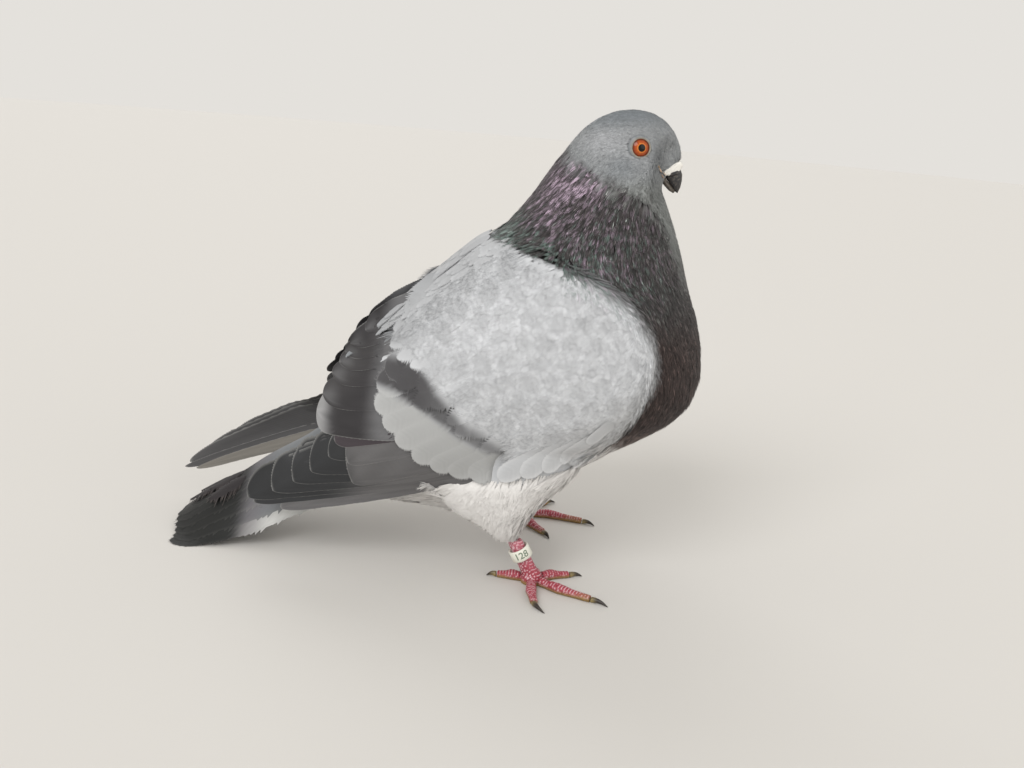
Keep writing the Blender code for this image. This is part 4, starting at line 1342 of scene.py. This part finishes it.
# %% Lay the flight feathers
UNDER_BUFF, GAP_PAINTED_SHADOW = paint(134, 130, 123), paint(60, 54, 58)
TERTIAL_PALE, TERTIAL_MID, TERTIAL_DARK = paint(158, 158, 159), paint(104, 104, 106), paint(46, 44, 46)
FLIGHT_GREY, FLIGHT_DARK, FLIGHT_EDGE = paint(96, 95, 96), paint(46, 47, 49), paint(150, 150, 148)
FLIGHTS = [
    # right wing: root, tip; left wing: root, tip; lower web, upper web, its share left at the tip; bows; kind
    ((-58, 160), (-103, 131.5), (-58, 161), (-104, 132), 3, 9, 0.6, -0.05, -0.05, "tertial"),
    ((-58, 155), (-111.5, 122), (-59, 154), (-112, 123), 3, 10, 0.6, -0.10, -0.10, "tertial"),
    ((-57, 148), (-115, 116.5), (-57, 148), (-116, 117), 3, 9, 0.6, -0.10, -0.10, "tertial"),
    ((-56, 141), (-117.5, 111.5), (-56, 141), (-119, 112), 3, 9, 0.6, -0.12, -0.12, "tertial"),
    ((-54, 131), (-121, 105.5), (-54, 130), (-124, 106), 3, 10, 0.6, -0.17, -0.15, "tertial"),
    ((-46, 118), (-124.5, 95.5), (-51, 114), (-129, 98), 3, 13, 0.65, -0.20, -0.15, "tertial"),
    ((-46, 96), (-126, 88), (-46, 94), (-131, 88), 8.5, 12, 0.8, -0.06, -0.06, "last_tertial"),
    # the gap feather is a thin dark wedge: painted shadow between the tertials and the secondaries
    ((-38, 100), (-112, 78), (-38, 100), (-118, 77), 5, 12, 0.6, -0.02, 0.0, "gap"),
    ((-25, 96), (-103.5, 66), (-25, 96), (-118, 66), 3, 18, 0.8, -0.04, 0.0, "secondary"),
    ((-25, 84), (-101, 53.5), (-25, 84), (-128, 58), 4, 27, 0.85, -0.04, 0.0, "secondary"),
    ((-25, 86), (-115, 68), (-25, 86), (-150, 66.5), 3, 18, 0.8, -0.04, 0.02, "primary"),
    ((-25, 80), (-125, 57.5), (-25, 84), (-170, 56.5), 3.5, 28, 0.72, -0.05, 0.03, "primary"),
    ((-25, 77), (-135, 49.5), (-25, 81), (-191, 44.5), 3.5, 32, 0.65, -0.05, 0.05, "primary"),
    ((-25, 74), (-147, 41.5), (-25, 78), (-208, 32), 3.5, 34, 0.55, -0.05, 0.07, "primary"),
    ((-25, 70), (-161.5, 35.5), (-25, 74), (-218, 24), 3, 33, 0.42, -0.06, 0.09, "primary"),
    ((-28, 67), (-158, 33), (-25, 68), (-221, 20.5), 3, 12, 0.42, -0.05, 0.12, "primary"),
    ((-32, 63), (-142, 31), (-25, 62), (-214, 20), 3, 10, 0.6, -0.05, 0.15, "last"),
]


def flight_colour(kind, own, under):
    """Colours along and across one flight feather; under is how much paler the lowest two are."""
    def colour(points, v, share):
        x = read_mm(points)[..., 0]
        if kind.endswith("tertial"):
            tone = blend(TERTIAL_MID, TERTIAL_DARK, ramp(-x, 84, 98))
            tone = blend(tone, TERTIAL_MID, (0.45 * ramp(v, 0.8, 0.95) * ramp(0.9 - share, 0, 0.5))[None])
            pale_tip = 0.8 * ramp(v + 0.03 * share, 0.86, 0.99) * (kind != "tertial")
            tone = blend(tone, TERTIAL_PALE, pale_tip[None])
        elif kind == "secondary":
            tone = blend(FLIGHT_GREY, FLIGHT_DARK, ramp(v, 0.9, 1.0)[None] * 0.3)
        # painted shadow: the gap feather is painted dark all over
        elif kind == "gap":
            tone = GAP_PAINTED_SHADOW
        elif kind == "last":
            tone = blend(FLIGHT_GREY, UNDER_BUFF, np.full(x.shape, under))
        else:
            outer = blend(FLIGHT_DARK, FLIGHT_GREY, 0.85 * under)
            tone = blend(FLIGHT_GREY, outer, ramp(v, 0.45, 0.7)[None])
        edge = np.maximum(ramp(share, 0.94, 0.985), ramp(v, 0.99, 1.0))[None] * ramp(v, 0.3, 0.5)[None]
        wear = 0.3 + 0.25 * np.sin(v * 23 + own * 40) if kind == "tertial" else 0.45 + 0.3 * under
        bands = np.exp(0.08 * np.sin(share * 7 + v * 17 + own * 60))[None, :, None]
        tone = blend(tone, FLIGHT_EDGE, edge * wear) * bands
        return matt(tone * own)
    return colour


print("flight feathers in each wing:", len(FLIGHTS))

# %% [markdown]
# Every feather sinks under the coverts in the same way, so that their order holds from root to tip. Each
# lies a little lower than the one before it.

# %% Fold both wings
COVERT_TIPS = np.array([(-96, 200), (-92, 118), (-89, 103), (-87, 95), (-81, 91), (-75, 80), (-69, 75),
                        (-61, 70), (-54, 68), (-36, 65), (-20, 63)], float)


def sunk(level):
    """Heights of a feather that lies at level, in mm, and goes deeper where the coverts cover it."""
    def height_at(mm):
        inner = mm[..., 2] - along_line(COVERT_TIPS, mm[..., 0])
        return (level - 1.5 * ramp(inner, -7, 8)) * MM
    return height_at


for side, sign in SIDES:
    is_right = side == "right"
    sheaf = Sheaf("flight_feathers_" + side)
    for k, (*places, lower, upper, left, right_bow, left_bow, kind) in enumerate(FLIGHTS):
        start, end = places[:2] if is_right else places[2:]
        widest = max(lower, upper)
        upper = upper * (1.0 if is_right or k < 8 else 0.62)
        webs, taper = (lower / widest, upper / widest), (1.0, left if is_right or k < 8 else 0.25)
        if is_right:
            webs, taper = webs[::-1], taper[::-1]
        shoulder = 0.84 if kind.endswith("tertial") and k < 6 else 0.9
        pattern = blade_pattern(44, (0.1, 0.35, 0.65, 0.92, 0.975), shoulder, 0.09, webs, taper)
        under = 0.0 if is_right or kind == "tertial" else 0.9
        tones = flight_colour(kind, math.exp(rng.normal(0, 0.04)), under)
        lay_between(sheaf, wing_relief[side].lay, at_side(start, sign), at_side(end, sign), widest,
                    sunk(-0.15 - 0.14 * min(k, 8) - 0.1 * max(k - 8, 0)), pattern, tones,
                    bow=sign * (right_bow if is_right else left_bow), fray=0.006, droop=0.0, calm=0.3)
    sheaf.build(flight_feather)

# %% [markdown]
# ## Tail feathers
#
# A pigeon's tail has twelve feathers. The middle pair lies on top, and each next one lies under its
# neighbour. They are blue grey, end in a wide blackish band, and the outermost has a pale outer web. The
# tips are worn.

# %% Lay the tail feathers
TAIL_GREY, TAIL_BAND, TAIL_WEB = paint(112, 115, 118), paint(22, 23, 22), paint(200, 200, 197)


def tail_colour(outermost, own):
    """Grey with the dark end band; the outermost feathers are paler."""
    def colour(points, v, share):
        x = read_mm(points)[..., 0]
        tone = blend(TAIL_GREY, TAIL_WEB, np.full(x.shape, 0.75 if outermost else 0.0))
        tone = blend(tone, paint(92, 88, 92), ramp(-x, 150, 164) * 0.7)
        tone = blend(tone, TAIL_BAND, ramp(-x, 163, 173))
        edge = (ramp(share, 0.85, 1.0) * ramp(v, 0.2, 0.4))[None]
        tone = blend(tone, paint(128, 127, 124), edge * 0.45 * (1 - 0.75 * ramp(-x, 163, 175)))
        return matt(tone * own)
    return colour


def worn_colour(points, v, share):
    """Curled, worn tips: dark purplish brown with pale splinters along the edge."""
    splinters = ramp(share, 0.9, 1.0) * rng.random(v.shape)
    return matt(blend(paint(38, 34, 36), paint(112, 102, 98), splinters))[None]


def under_colour(points, v, share):
    """Pale under tail coverts, greyer towards the tip."""
    tone = blend(BELLY_WHITE * 0.86, paint(150, 151, 152), ramp(v, 0.4, 1.0) * 0.6)
    return matt(tone * math.exp(rng.normal(0, 0.05)))[None]


print("dark band of the tail:", np.round(TAIL_BAND, 3))

# %% [markdown]
# The middle pair's band is worn: four curled and splintered tips lie over it.

# %% Lay the twelve tail feathers
sheaf = Sheaf("tail_feathers")
for k in range(12):
    across = -1 + 2 * (k + 0.5) / 12
    rank = abs(k - 5.5)
    tip_x = -211.5 + 6.0 * across ** 2 + rng.normal(0, 0.8)
    level = -0.15 - 0.24 * rank
    lay_between(sheaf, tail_relief.lay, (-104, across * 15, 80), (tip_x, across * 35.5, 3), 8.2,
                (level - 1.0, level), blade_pattern(48, (0.1, 0.3, 0.55, 0.78, 0.92), 0.9, 0.10),
                tail_colour(k in (0, 11), math.exp(rng.normal(0, 0.06))), fray=0.08, droop=0.02, calm=0.3)
for start, end in (((-173, 2), (-192, -3)), ((-179, 10), (-200, 7)), ((-171, -7), (-190, -12)),
                   ((-184, 4), (-205, 1))):
    lay_between(sheaf, tail_relief.lay, (*start, 40), (*end, 10), 6.5, (-0.3, 2.6),
                blade_pattern(30, (0.3, 0.6)), worn_colour, fray=0.3, droop=0.25, calm=0.1)
sheaf.build(flight_feather)

# %% [markdown]
# From below, pale coverts hide the bases of the tail feathers. They hang in a shallow trough under the
# tail, which starts at the belly's fluff and runs out along the tail's lower edge.

# %% Under the tail
def under_trough(points):
    """Lay points on the trough under the tail."""
    mm = read_mm(points)
    x, y = mm[:, 0], mm[:, 1]
    mm[:, 2] = np.interp(x, [-180, -160, -123, -85, -60], [8, 13, 24, 33, 40]) + 0.018 * y ** 2
    slopes = np.stack([np.interp(x, [-180, -60], [0.28, 0.26]), 0.036 * y, -np.ones(len(x))], axis=1)
    return place(mm), unit(slopes)


sheaf = Sheaf("under_tail")
for row, (root_x, tip_x) in enumerate(((-104, -170), (-96, -155), (-86, -141), (-76, -127), (-66, -112))):
    for across in np.linspace(-1, 1, 9 - row % 2):
        across = across + rng.normal(0, 0.04)
        tip = (tip_x + rng.normal(0, 4), across * (18 - 2.5 * (row < 1)), 20)
        lay_between(sheaf, under_trough, (root_x, across * 19, 20), tip, 5.5, (-0.6, 0.2 + 0.5 * row),
                    blade_pattern(26, (0.35, 0.65), 0.7), under_colour, fray=0.34, droop=0.05, calm=0.8)
sheaf.build(covert_feather)

# %% [markdown]
# ## Eyes
#
# A pigeon's iris is orange, reddest at its outer rim, with fine streaks that run out from the pupil. The
# eye shines like wet glass. It sits in a narrow ring of bare, pale, grainy skin, and the lids' folds lie
# round that. The eye is made as rings round its own axis, so its colours follow the distance from the
# pupil's middle.

# %% Eyes and lids
EYE_RADIUS = 7.5
PUPIL, IRIS_RED = paint(7, 6, 6), paint(106, 42, 20)
IRIS_ORANGE, IRIS_BRIGHT = paint(164, 74, 28), paint(206, 122, 52)


def rings_mesh(rings, closed_ends=True):
    """Points and triangles for rows of points that each run once round."""
    rings = np.asarray(rings, float)
    count, around = rings.shape[:2]
    faces = []
    for i in range(count - 1):
        for j in range(around):
            a, b = i * around + j, i * around + (j + 1) % around
            faces += [(a, b, b + around), (a, b + around, a + around)]
    points = rings.reshape(-1, 3)
    if closed_ends:
        points = np.concatenate([points, rings[:1].mean(axis=1), rings[-1:].mean(axis=1)])
        last = (count - 1) * around
        faces += [((j + 1) % around, j, len(points) - 2) for j in range(around)]
        faces += [(last + j, last + (j + 1) % around, len(points) - 1) for j in range(around)]
    return points, np.array(faces)


def painted_piece(name, parts, material, replaces=()):
    """One smooth piece from parts of (points in metres, triangles, colours)."""
    points, faces, colours, start = [], [], [], 0
    for part_points, part_faces, part_colours in parts:
        points.append(part_points)
        faces.append(part_faces + start)
        colours.append(np.broadcast_to(part_colours, (len(part_points), 3)))
        start += len(part_points)
    points, faces, colours = np.concatenate(points), np.concatenate(faces), np.concatenate(colours)
    mesh = bpy.data.meshes.new(name)
    mesh.from_pydata(points.tolist(), [], faces.tolist())
    mesh.polygons.foreach_set("use_smooth", np.ones(len(faces), bool))
    paint_points(mesh, colours)
    mesh.materials.append(material)
    obj = add_object(name, mesh)
    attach(obj, "root")
    if replaces:
        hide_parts(*replaces)
    print(f"{name}: {len(faces)} triangles")


eye_material = plain_material("wet_eye", 0.08, 0.25, coat=0.12)
lid_material = plain_material("bare_skin", 0.6, 0.3, grain_depth=0.5, fineness=2200.0)
eye_parts, lid_parts = [], []
TILTS = np.concatenate([np.linspace(0.02, 0.24, 5), [0.262, 0.275, 0.29], np.linspace(0.31, 0.72, 20),
                        [0.76, 1.0]])
LID_FOLDS = [
    # radius, height out from the ball's centre, colour
    (4.6, 5.5, paint(70, 40, 30)), (4.78, 5.95, paint(104, 72, 56)), (5.0, 6.32, paint(140, 130, 114)),
    (5.3, 6.46, paint(148, 143, 132)), (5.6, 6.4, paint(134, 132, 127)), (6.0, 6.2, paint(134, 136, 137)),
    (6.5, 5.8, paint(130, 133, 136)), (7.0, 4.6, paint(116, 120, 123))]
for side, sign in SIDES:
    axis = GAZE[side]
    first = unit(np.cross(axis, (0, 0, 1)))
    second = np.cross(first, axis)
    centre = place(PUPILS[side]) - axis * EYE_RADIUS * MM
    turns = full_turn(96)

    def around(reach, height):
        """A ring round the eye's axis, reach mm wide and height mm out from the ball's centre."""
        spin = first * np.cos(turns)[:, None] + second * np.sin(turns)[:, None]
        return centre + (axis * np.asarray(height)[..., None] + spin * np.asarray(reach)[..., None]) * MM

    eye_rings, shades = [], []
    streak = rng.normal(0, 1, 96)
    streak = (streak + np.roll(streak, 1)) * 0.5
    for tilt in TILTS:
        bulge = EYE_RADIUS * (1 + 0.03 * math.exp(-(tilt / 0.4) ** 2))
        eye_rings.append(around(np.full(96, bulge * math.sin(tilt)), np.full(96, bulge * math.cos(tilt))))
        spread = np.clip((tilt - 0.27) / 0.43, 0, 1) + 0.08 * streak
        tone = blend(IRIS_BRIGHT, IRIS_ORANGE, ramp(spread, 0.08, 0.32))
        tone = blend(tone, IRIS_RED, ramp(spread, 0.4, 0.95))
        tone = blend(tone, PUPIL, np.full(96, 1 - ramp(tilt, 0.258, 0.285)))
        shades.append(tone * (1 - 0.75 * ramp(tilt, 0.69, 0.75)))
    points, faces = rings_mesh(eye_rings)
    eye_parts.append((points, faces, np.concatenate(shades + [PUPIL[None], PUPIL[None]])))
    lid_rings, lid_tones = [], []
    wrinkle = np.convolve(rng.normal(0, 1, 98), [0.5, 0.7, 0.5], "valid")
    narrow = 1 - 0.035 * np.sin(turns - 0.3) ** 4
    for reach, height, tone in LID_FOLDS:
        lid_rings.append(around(reach * narrow, height + 0.05 * wrinkle))
        lid_tones.append(tone[None] * (1 + 0.07 * wrinkle[:, None]))
    points, faces = rings_mesh(lid_rings, closed_ends=False)
    lid_parts.append((points, faces, np.concatenate(lid_tones)))
painted_piece("eyes", eye_parts, eye_material, ("eye_right", "eye_left"))

# %% [markdown]
# ## Bill
#
# The bill points steeply down. Its upper half is dark horn over a chalk-white cere, two soft grainy lobes
# like a split pea. The lower half is paler and lies half hidden. At the corner of the mouth the skin is
# bare, yellowish and folded. Each half is a stack of sections from its base to its tip, between a line for
# the mouth and one for the outer edge.

# %% Both halves of the bill
HORN, HORN_LOW, HORN_PALE = paint(52, 51, 52), paint(84, 78, 72), paint(120, 112, 100)
CERE_WHITE, NOSTRIL = paint(236, 233, 226), paint(40, 34, 32)


def bill_half(mouth, outer, half_widths, sections=22, around=28):
    """Sections between two side-view lines, given in mm, with a half width at each station."""
    share = np.linspace(0, 1, sections)
    stations = np.linspace(0, 1, len(mouth))
    mouth, outer = (np.stack([np.interp(share, stations, np.array(line)[:, k]) for k in (0, 1)], axis=1)
                    for line in (mouth, outer))
    widths = np.interp(share, stations, half_widths)
    turns = full_turn(around)
    rows = []
    up = (1 + np.sin(turns)) / 2
    for low, high, width in zip(mouth, outer, widths):
        y = width * np.sign(np.cos(turns)) * np.abs(np.cos(turns)) ** 0.75
        side_view = low[None] + (high - low)[None] * up[:, None]
        rows.append(np.stack([side_view[:, 0], y, side_view[:, 1]], axis=1))
    return np.array(rows)


def horn_tone(rows, first, second):
    """Horn of the first colour with fine blotches of the second."""
    speck = rng.normal(0, 0.08, rows.shape[:2])
    tone = blend(first, second, np.clip(speck * 3, 0, 0.5)) * np.exp(speck)[..., None]
    return tone.reshape(-1, 3)


upper = bill_half([(56.6, 230.6), (58.9, 227.9), (60.8, 225.6), (62.7, 223.5), (64.4, 221.7)],
                  [(65.4, 234.6), (66.8, 231.8), (67.0, 228.2), (66.6, 224.6), (65.4, 221.2)],
                  [4.2, 3.8, 3.2, 2.3, 0.5])
lower = bill_half([(54.6, 232.8), (57.0, 230.0), (59.4, 227.2), (62.0, 224.4), (64.0, 222.2)],
                  [(53.0, 230.6), (55.0, 227.6), (57.6, 224.7), (60.4, 222.2), (63.0, 221.0)],
                  [4.2, 3.8, 3.1, 2.1, 0.6])
horn_material = plain_material("bill_horn", 0.42, 0.4, grain_depth=0.35, fineness=1800.0)
for name, rows, tones, node in (("bill_upper_horn", upper, (HORN, HORN_PALE), "bill_upper"),
                                ("bill_lower_horn", lower, (HORN_LOW, HORN_PALE), "bill_lower")):
    points, faces = rings_mesh(rows)
    shade = horn_tone(rows, *tones)
    painted_piece(name, [(place(points), faces, np.concatenate([shade, shade[:1], shade[-1:]]))],
                  horn_material, (node,))

# %% [markdown]
# The cere's two lobes are stacks of rounded sections from the forehead to the front, as wide as the face
# behind them. Where they end, the corner of the mouth is a few thin folds of bare skin, the last of them a
# thin dark sheet of painted shadow in the mouth's seam, and the nostril is a dark slit in front.


# %% Cere and the corner of the mouth
def blob(centre, long_way, sizes, rough, tone, around=40, up_rows=24):
    """A rounded lump whose long side lies along a side-view direction; sizes are half lengths in mm."""
    turns = full_turn(around)
    ahead = unit(np.array([long_way[0], 0.0, long_way[1]]))
    over = np.array([-ahead[2], 0.0, ahead[0]])
    rows = []
    for tilt in np.linspace(0.08, math.pi - 0.08, up_rows):
        bump = 1 + rng.normal(0, rough, around)
        ring = np.array([0, sizes[1], 0]) * np.cos(turns)[:, None] + over * sizes[2] * np.sin(turns)[:, None]
        middle = np.array(centre) - ahead * math.cos(tilt) * sizes[0]
        rows.append(middle + math.sin(tilt) * bump[:, None] * ring)
    points, faces = rings_mesh(rows)
    return place(points), faces, np.broadcast_to(tone, points.shape)


cere_material = plain_material("chalky_skin", 0.85, 0.2, grain_depth=0.8, fineness=2600.0)
CERE_LOW = np.array([(55.0, 231.2), (57.2, 230.6), (59.6, 230.4), (62.2, 231.3), (64.6, 233.0),
                     (66.0, 235.0)])
CERE_HIGH = np.array([(54.9, 232.6), (57.4, 234.4), (59.8, 235.9), (62.4, 237.9), (64.9, 238.9),
                      (66.8, 237.2)])


def cheek(x, z, sign):
    """How far out the side of the head is at a place seen from the side, in mm."""
    hit = form_tree.ray_cast(Vector(place((x, sign * 60, z))), Vector((0, -sign, 0)))[0]
    return abs(float(read_mm(np.array([hit]))[0][1])) if hit is not None else 0.0


lobes = []
for sign in (-1, 1):
    turns, rows = full_turn(40), []
    for share in np.linspace(0, 1, 26):
        low, high = (np.array([np.interp(share * 5, range(6), line[:, k]) for k in (0, 1)])
                     for line in (CERE_LOW, CERE_HIGH))
        full = 1 - 0.9 * abs(2 * share - 1) ** 5
        middle = (low + high) / 2
        low, high = middle + (low - middle) * full, middle + (high - middle) * full
        wide = max(cheek(*middle, sign) + 0.8, 4.6 - 1.4 * share)
        rough = 1 + rng.normal(0, 0.02, 40)
        tall, deep = (np.sign(part) * np.abs(part) ** 0.55 * rough for part in (np.sin(turns), np.cos(turns)))
        side_view = low + (high - low) * ((1 + tall) / 2)[:, None]
        y = sign * (wide / 2 + 0.05 + wide / 2 * full * deep)
        rows.append(np.stack([side_view[:, 0], y, side_view[:, 1]], axis=1))
    points, faces = rings_mesh(rows)
    lobes.append((place(points), faces, CERE_WHITE * (1 + rng.normal(0, 0.03, (len(points), 1)))))
painted_piece("cere_lobes", lobes, cere_material, ("cere",))
FOLDS = [
    # x, z, direction seen from the side, half lengths, colour
    (52.9, 234.0, (0.6, -0.8), (2.0, 0.5, 0.45), paint(186, 160, 138)),
    (54.9, 230.6, (0.66, -0.75), (2.0, 0.5, 0.4), paint(168, 146, 128)),
    (51.9, 235.6, (0.5, -0.85), (0.8, 0.45, 0.4), paint(150, 124, 92)),
    (55.9, 231.9, (0.7, -0.7), (1.8, 0.45, 0.35), paint(200, 184, 168)),
    # the last fold is a thin dark sheet: painted shadow in the seam of the mouth
    (54.0, 232.8, (0.66, -0.75), (2.6, 0.6, 0.13), paint(34, 26, 24))]
folds = []
for sign in (-1, 1):
    folds.append(blob((61.8, sign * 3.7, 231.0), (0.9, 0.42), (2.4, 0.5, 0.4), 0.0, NOSTRIL))
    for x, z, way, size, tone in FOLDS:
        folds.append(blob((x, sign * (cheek(x, z, sign) + 0.1), z), way, size, 0.05, tone))
painted_piece("bare_face_skin", lid_parts + folds, lid_material)

# %% [markdown]
# ## Legs, claws and ring
#
# The bare legs are covered in small plates. Down the front of the leg and over each toe they lie in rows
# across, elsewhere they are small and round, and many have a dry white edge. The soles are yellowish. Each
# toe runs out from the middle of its foot, so a row of plates is a step in distance from there. On the leg
# a row is a step in height.

# %% Scaly legs
FEET = {"right": (3, -46), "left": (-6, 54)}
LEG_NODES = [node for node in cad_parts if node.startswith(("tarsus_", "toe_"))]
CLAWS = [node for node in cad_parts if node.startswith("claw_")]
LEG_RED, LEG_PINK = paint(158, 58, 72), paint(192, 112, 126)
SOLE_OLIVE, FLECK = paint(150, 128, 76), paint(226, 192, 198)

legs = fuse(joined_copy("leg_scales", LEG_NODES), 0.42 * MM, 4)
leg_points, leg_normals, leg_faces = mesh_arrays(legs.data)
leg_mm = read_mm(leg_points)
foot_at = np.where((leg_mm[:, 1] < 0)[:, None], FEET["right"], FEET["left"])
reach = np.linalg.norm(leg_mm[:, :2] - foot_at, axis=1)
on_toe = ramp(reach - 0.5 * np.maximum(leg_mm[:, 2] - 7, 0), 5, 7)
step_place = np.where(on_toe > 0.5, reach / 1.7, leg_mm[:, 2] / 1.6)
front = np.where(on_toe > 0.5, ramp(leg_normals[:, 2], 0.25, 0.6), ramp(leg_normals[:, 0], 0.1, 0.5))
saw = step_place % 1.0
plate = front * (0.20 * np.sin(np.pi * saw) ** 0.6 - 0.1)
spots_at = leg_mm[np.unique(np.floor(leg_mm / 1.0).astype(int), axis=0, return_index=True)[1]]
spots_at = spots_at + rng.normal(0, 0.2, spots_at.shape)
spot_tree = point_tree(spots_at)
nearest = [spot_tree.find_n(p, 2) for p in leg_mm.tolist()]
first_gap, second_gap = np.array([n[0][2] for n in nearest]), np.array([n[1][2] for n in nearest])
white = rng.random(len(spots_at))[np.array([n[0][1] for n in nearest])]
round_plate = (1 - front) * (0.12 * ramp(second_gap - first_gap, 0, 0.5) - 0.06)
legs_out = leg_points + leg_normals * ((plate + round_plate) * MM)[:, None]
print("plates:", len(spots_at))

# %% [markdown]
# The grooves between plates are dark, the rims of many plates have dry white flecks, and the soles are olive.

# %% Colours of the legs
height = leg_mm[:, 2]
tone = blend(LEG_RED, LEG_PINK, ramp(height, 6, 20) * 0.8)
sole = np.clip(ramp(2.6 - height, -0.6, 1.6) + 0.5 * ramp(reach, 26, 36), 0, 1)
tone = blend(tone, SOLE_OLIVE, sole * 0.85)
row_groove = ramp(0.16 - np.minimum(saw, 1 - saw), 0, 0.1)
round_groove = ramp(0.22 - (second_gap - first_gap), 0, 0.2)
groove = np.maximum(front * row_groove, (1 - front) * round_groove)
tone = tone * (1 - 0.42 * groove)[:, None]
edge_fleck = front * ramp(saw, 0.55, 0.75) * ramp(0.95 - saw, 0, 0.1) * (white > 0.35)
edge_fleck = edge_fleck * ramp(1.0 - first_gap, 0, 0.5)
round_fleck = (1 - front) * (white > 0.5) * ramp(0.62 - first_gap, 0, 0.25)
tone = blend(tone, FLECK, np.clip(edge_fleck + round_fleck, 0, 1) * ramp(height, 1.5, 3.5) * 0.75)
legs.data.vertices.foreach_set("co", legs_out.ravel())
legs.data.update()
paint_points(legs.data, tone)
legs.data.materials.append(plain_material("scaly_leg", 0.5, 0.4, grain_depth=0.25, fineness=2500.0))
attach(legs, "root")
print("leg scales:", len(leg_faces), "triangles")

# %% [markdown]
# The skin goes on down the legs, half a millimetre under the scales, so that it stands for every solid of
# flesh.

# %% Skin of the legs
flesh = bpy.data.meshes.new("leg_flesh")
flesh.from_pydata((leg_points - leg_normals * 0.5 * MM).tolist(), [], leg_faces.tolist())
paint_points(flesh, np.broadcast_to(LEG_RED, leg_points.shape))
leg_flesh = add_object("leg_flesh", flesh)
with bpy.context.temp_override(active_object=skin, selected_editable_objects=[skin, leg_flesh]):
    bpy.ops.object.join()
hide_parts(*LEG_NODES)
print("skin with legs:", len(skin.data.polygons), "faces")

# %% [markdown]
# ## Claws
#
# Claws are dark horn, and turn paler and yellower where they grow out of the toe. How far a point is from
# the middle of its foot says how far out it is along its claw.

# %% Claws
CLAW_DARK, CLAW_BASE = paint(46, 38, 32), paint(150, 132, 84)
claws = fuse(joined_copy("claws", CLAWS), 0.3 * MM, 2)
claw_points, _, claw_faces = mesh_arrays(claws.data)
claw_mm = read_mm(claw_points)
tone = CLAW_DARK
for node in CLAWS:
    low, high = (read_mm(corner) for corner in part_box(node))
    foot = np.array([*FEET["right" if "_right_" in node else "left"], 3.0])
    mine = ((claw_mm > low - 0.6) & (claw_mm < high + 0.6)).all(axis=1)
    gap = np.linalg.norm(claw_mm - foot, axis=1)
    near = gap[mine].min()
    base = ramp(4.5 - (gap - near), 0, 4) * mine
    tone = blend(tone, CLAW_BASE, base * (0.45 + 0.4 * ramp(3.2 - claw_mm[:, 2], 0, 2)))
tone = tone * np.exp(rng.normal(0, 0.06, len(claw_mm)))[:, None]
paint_points(claws.data, tone)
claws.data.materials.append(plain_material("claw_horn", 0.4, 0.5, grain_depth=0.25, fineness=1500.0))
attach(claws, "root")
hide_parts(*CLAWS)
print("claws:", len(claw_faces), "triangles")

# %% [markdown]
# ## Leg ring
#
# The ring is a plain closed band. Its number is three plain digits, in grey green, bent round the outside.

# %% Leg ring
ring_points = np.array([v.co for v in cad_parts["leg_ring"].data.vertices])
ring_centre = ring_points.mean(axis=0)
from_centre = ring_points - ring_centre
_, ways = np.linalg.eigh(np.cov(from_centre.T))
ring_axis = ways[:, 0] * np.sign(ways[2, 0])
ring_height = np.ptp(from_centre @ ring_axis) / MM
off_axis = from_centre - np.outer(from_centre @ ring_axis, ring_axis)
ring_radius = np.linalg.norm(off_axis, axis=1).max() / MM
ring_inner = np.linalg.norm(off_axis, axis=1).min() / MM
towards_us = np.array([0.05, -1.0, 0.0])
facing = unit(towards_us - ring_axis * (ring_axis @ towards_us))
beside = np.cross(ring_axis, facing)
print("ring's two radii and height, mm:", np.round([ring_radius, ring_inner, ring_height], 2))


def on_ring(turn, along, radius):
    """A place on the ring: turn round it from its front, millimetres along its axis, and a radius."""
    turn = np.asarray(turn)[..., None]
    return (ring_centre + ring_axis * (np.asarray(along)[..., None] * MM)
            + (facing * np.cos(turn) + beside * np.sin(turn)) * (np.asarray(radius)[..., None] * MM))


turns = full_turn(96)
half = ring_height / 2
profile = [(-half + 0.25, ring_inner), (-half, ring_inner + 0.2), (-half, ring_radius - 0.25),
           (-half + 0.3, ring_radius), (0, ring_radius), (half - 0.3, ring_radius),
           (half, ring_radius - 0.25), (half, ring_inner + 0.2), (half - 0.25, ring_inner),
           (-half + 0.25, ring_inner)]
band = [on_ring(turns, np.full(96, along), np.full(96, radius)) for along, radius in profile]
points, faces = rings_mesh(band, closed_ends=False)
painted_piece("ring_band", [(points, faces, paint(222, 222, 210))], plain_material("ring_plastic", 0.45, 0.4),
              ("leg_ring",))

# %% [markdown]
# The digits start as a flat text curve. Its mesh is cut finer, so that it can bend round the band.

# %% Digits on the ring
text = bpy.data.curves.new("digits", "FONT")
text.body = "128"
text.size = 5.6
text.offset = 0.1
text.align_x = "CENTER"
text.align_y = "CENTER"
text_obj = add_object("digits", text)
digits = bpy.data.meshes.new_from_object(text_obj.evaluated_get(bpy.context.evaluated_depsgraph_get()))
bpy.data.objects.remove(text_obj)
bm = bmesh.new()
bm.from_mesh(digits)
bmesh.ops.triangulate(bm, faces=bm.faces)
bmesh.ops.subdivide_edges(bm, edges=bm.edges, cuts=2, use_grid_fill=True)
bmesh.ops.triangulate(bm, faces=bm.faces)
flat = np.array([v.co for v in bm.verts])
digit_faces = np.array([[v.index for v in face.verts] for face in bm.faces])
bm.free()
bent = on_ring(flat[:, 0] / ring_radius + 0.1, flat[:, 1], np.full(len(flat), ring_radius + 0.04))
painted_piece("ring_digits", [(bent, digit_faces, paint(120, 132, 116))],
              plain_material("ring_ink", 0.5, 0.3))

# %% [markdown]
# ## Finish
#
# The size of the bird in feathers is measured from the bounds of its shown pieces.

# %% Finish
low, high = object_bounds()
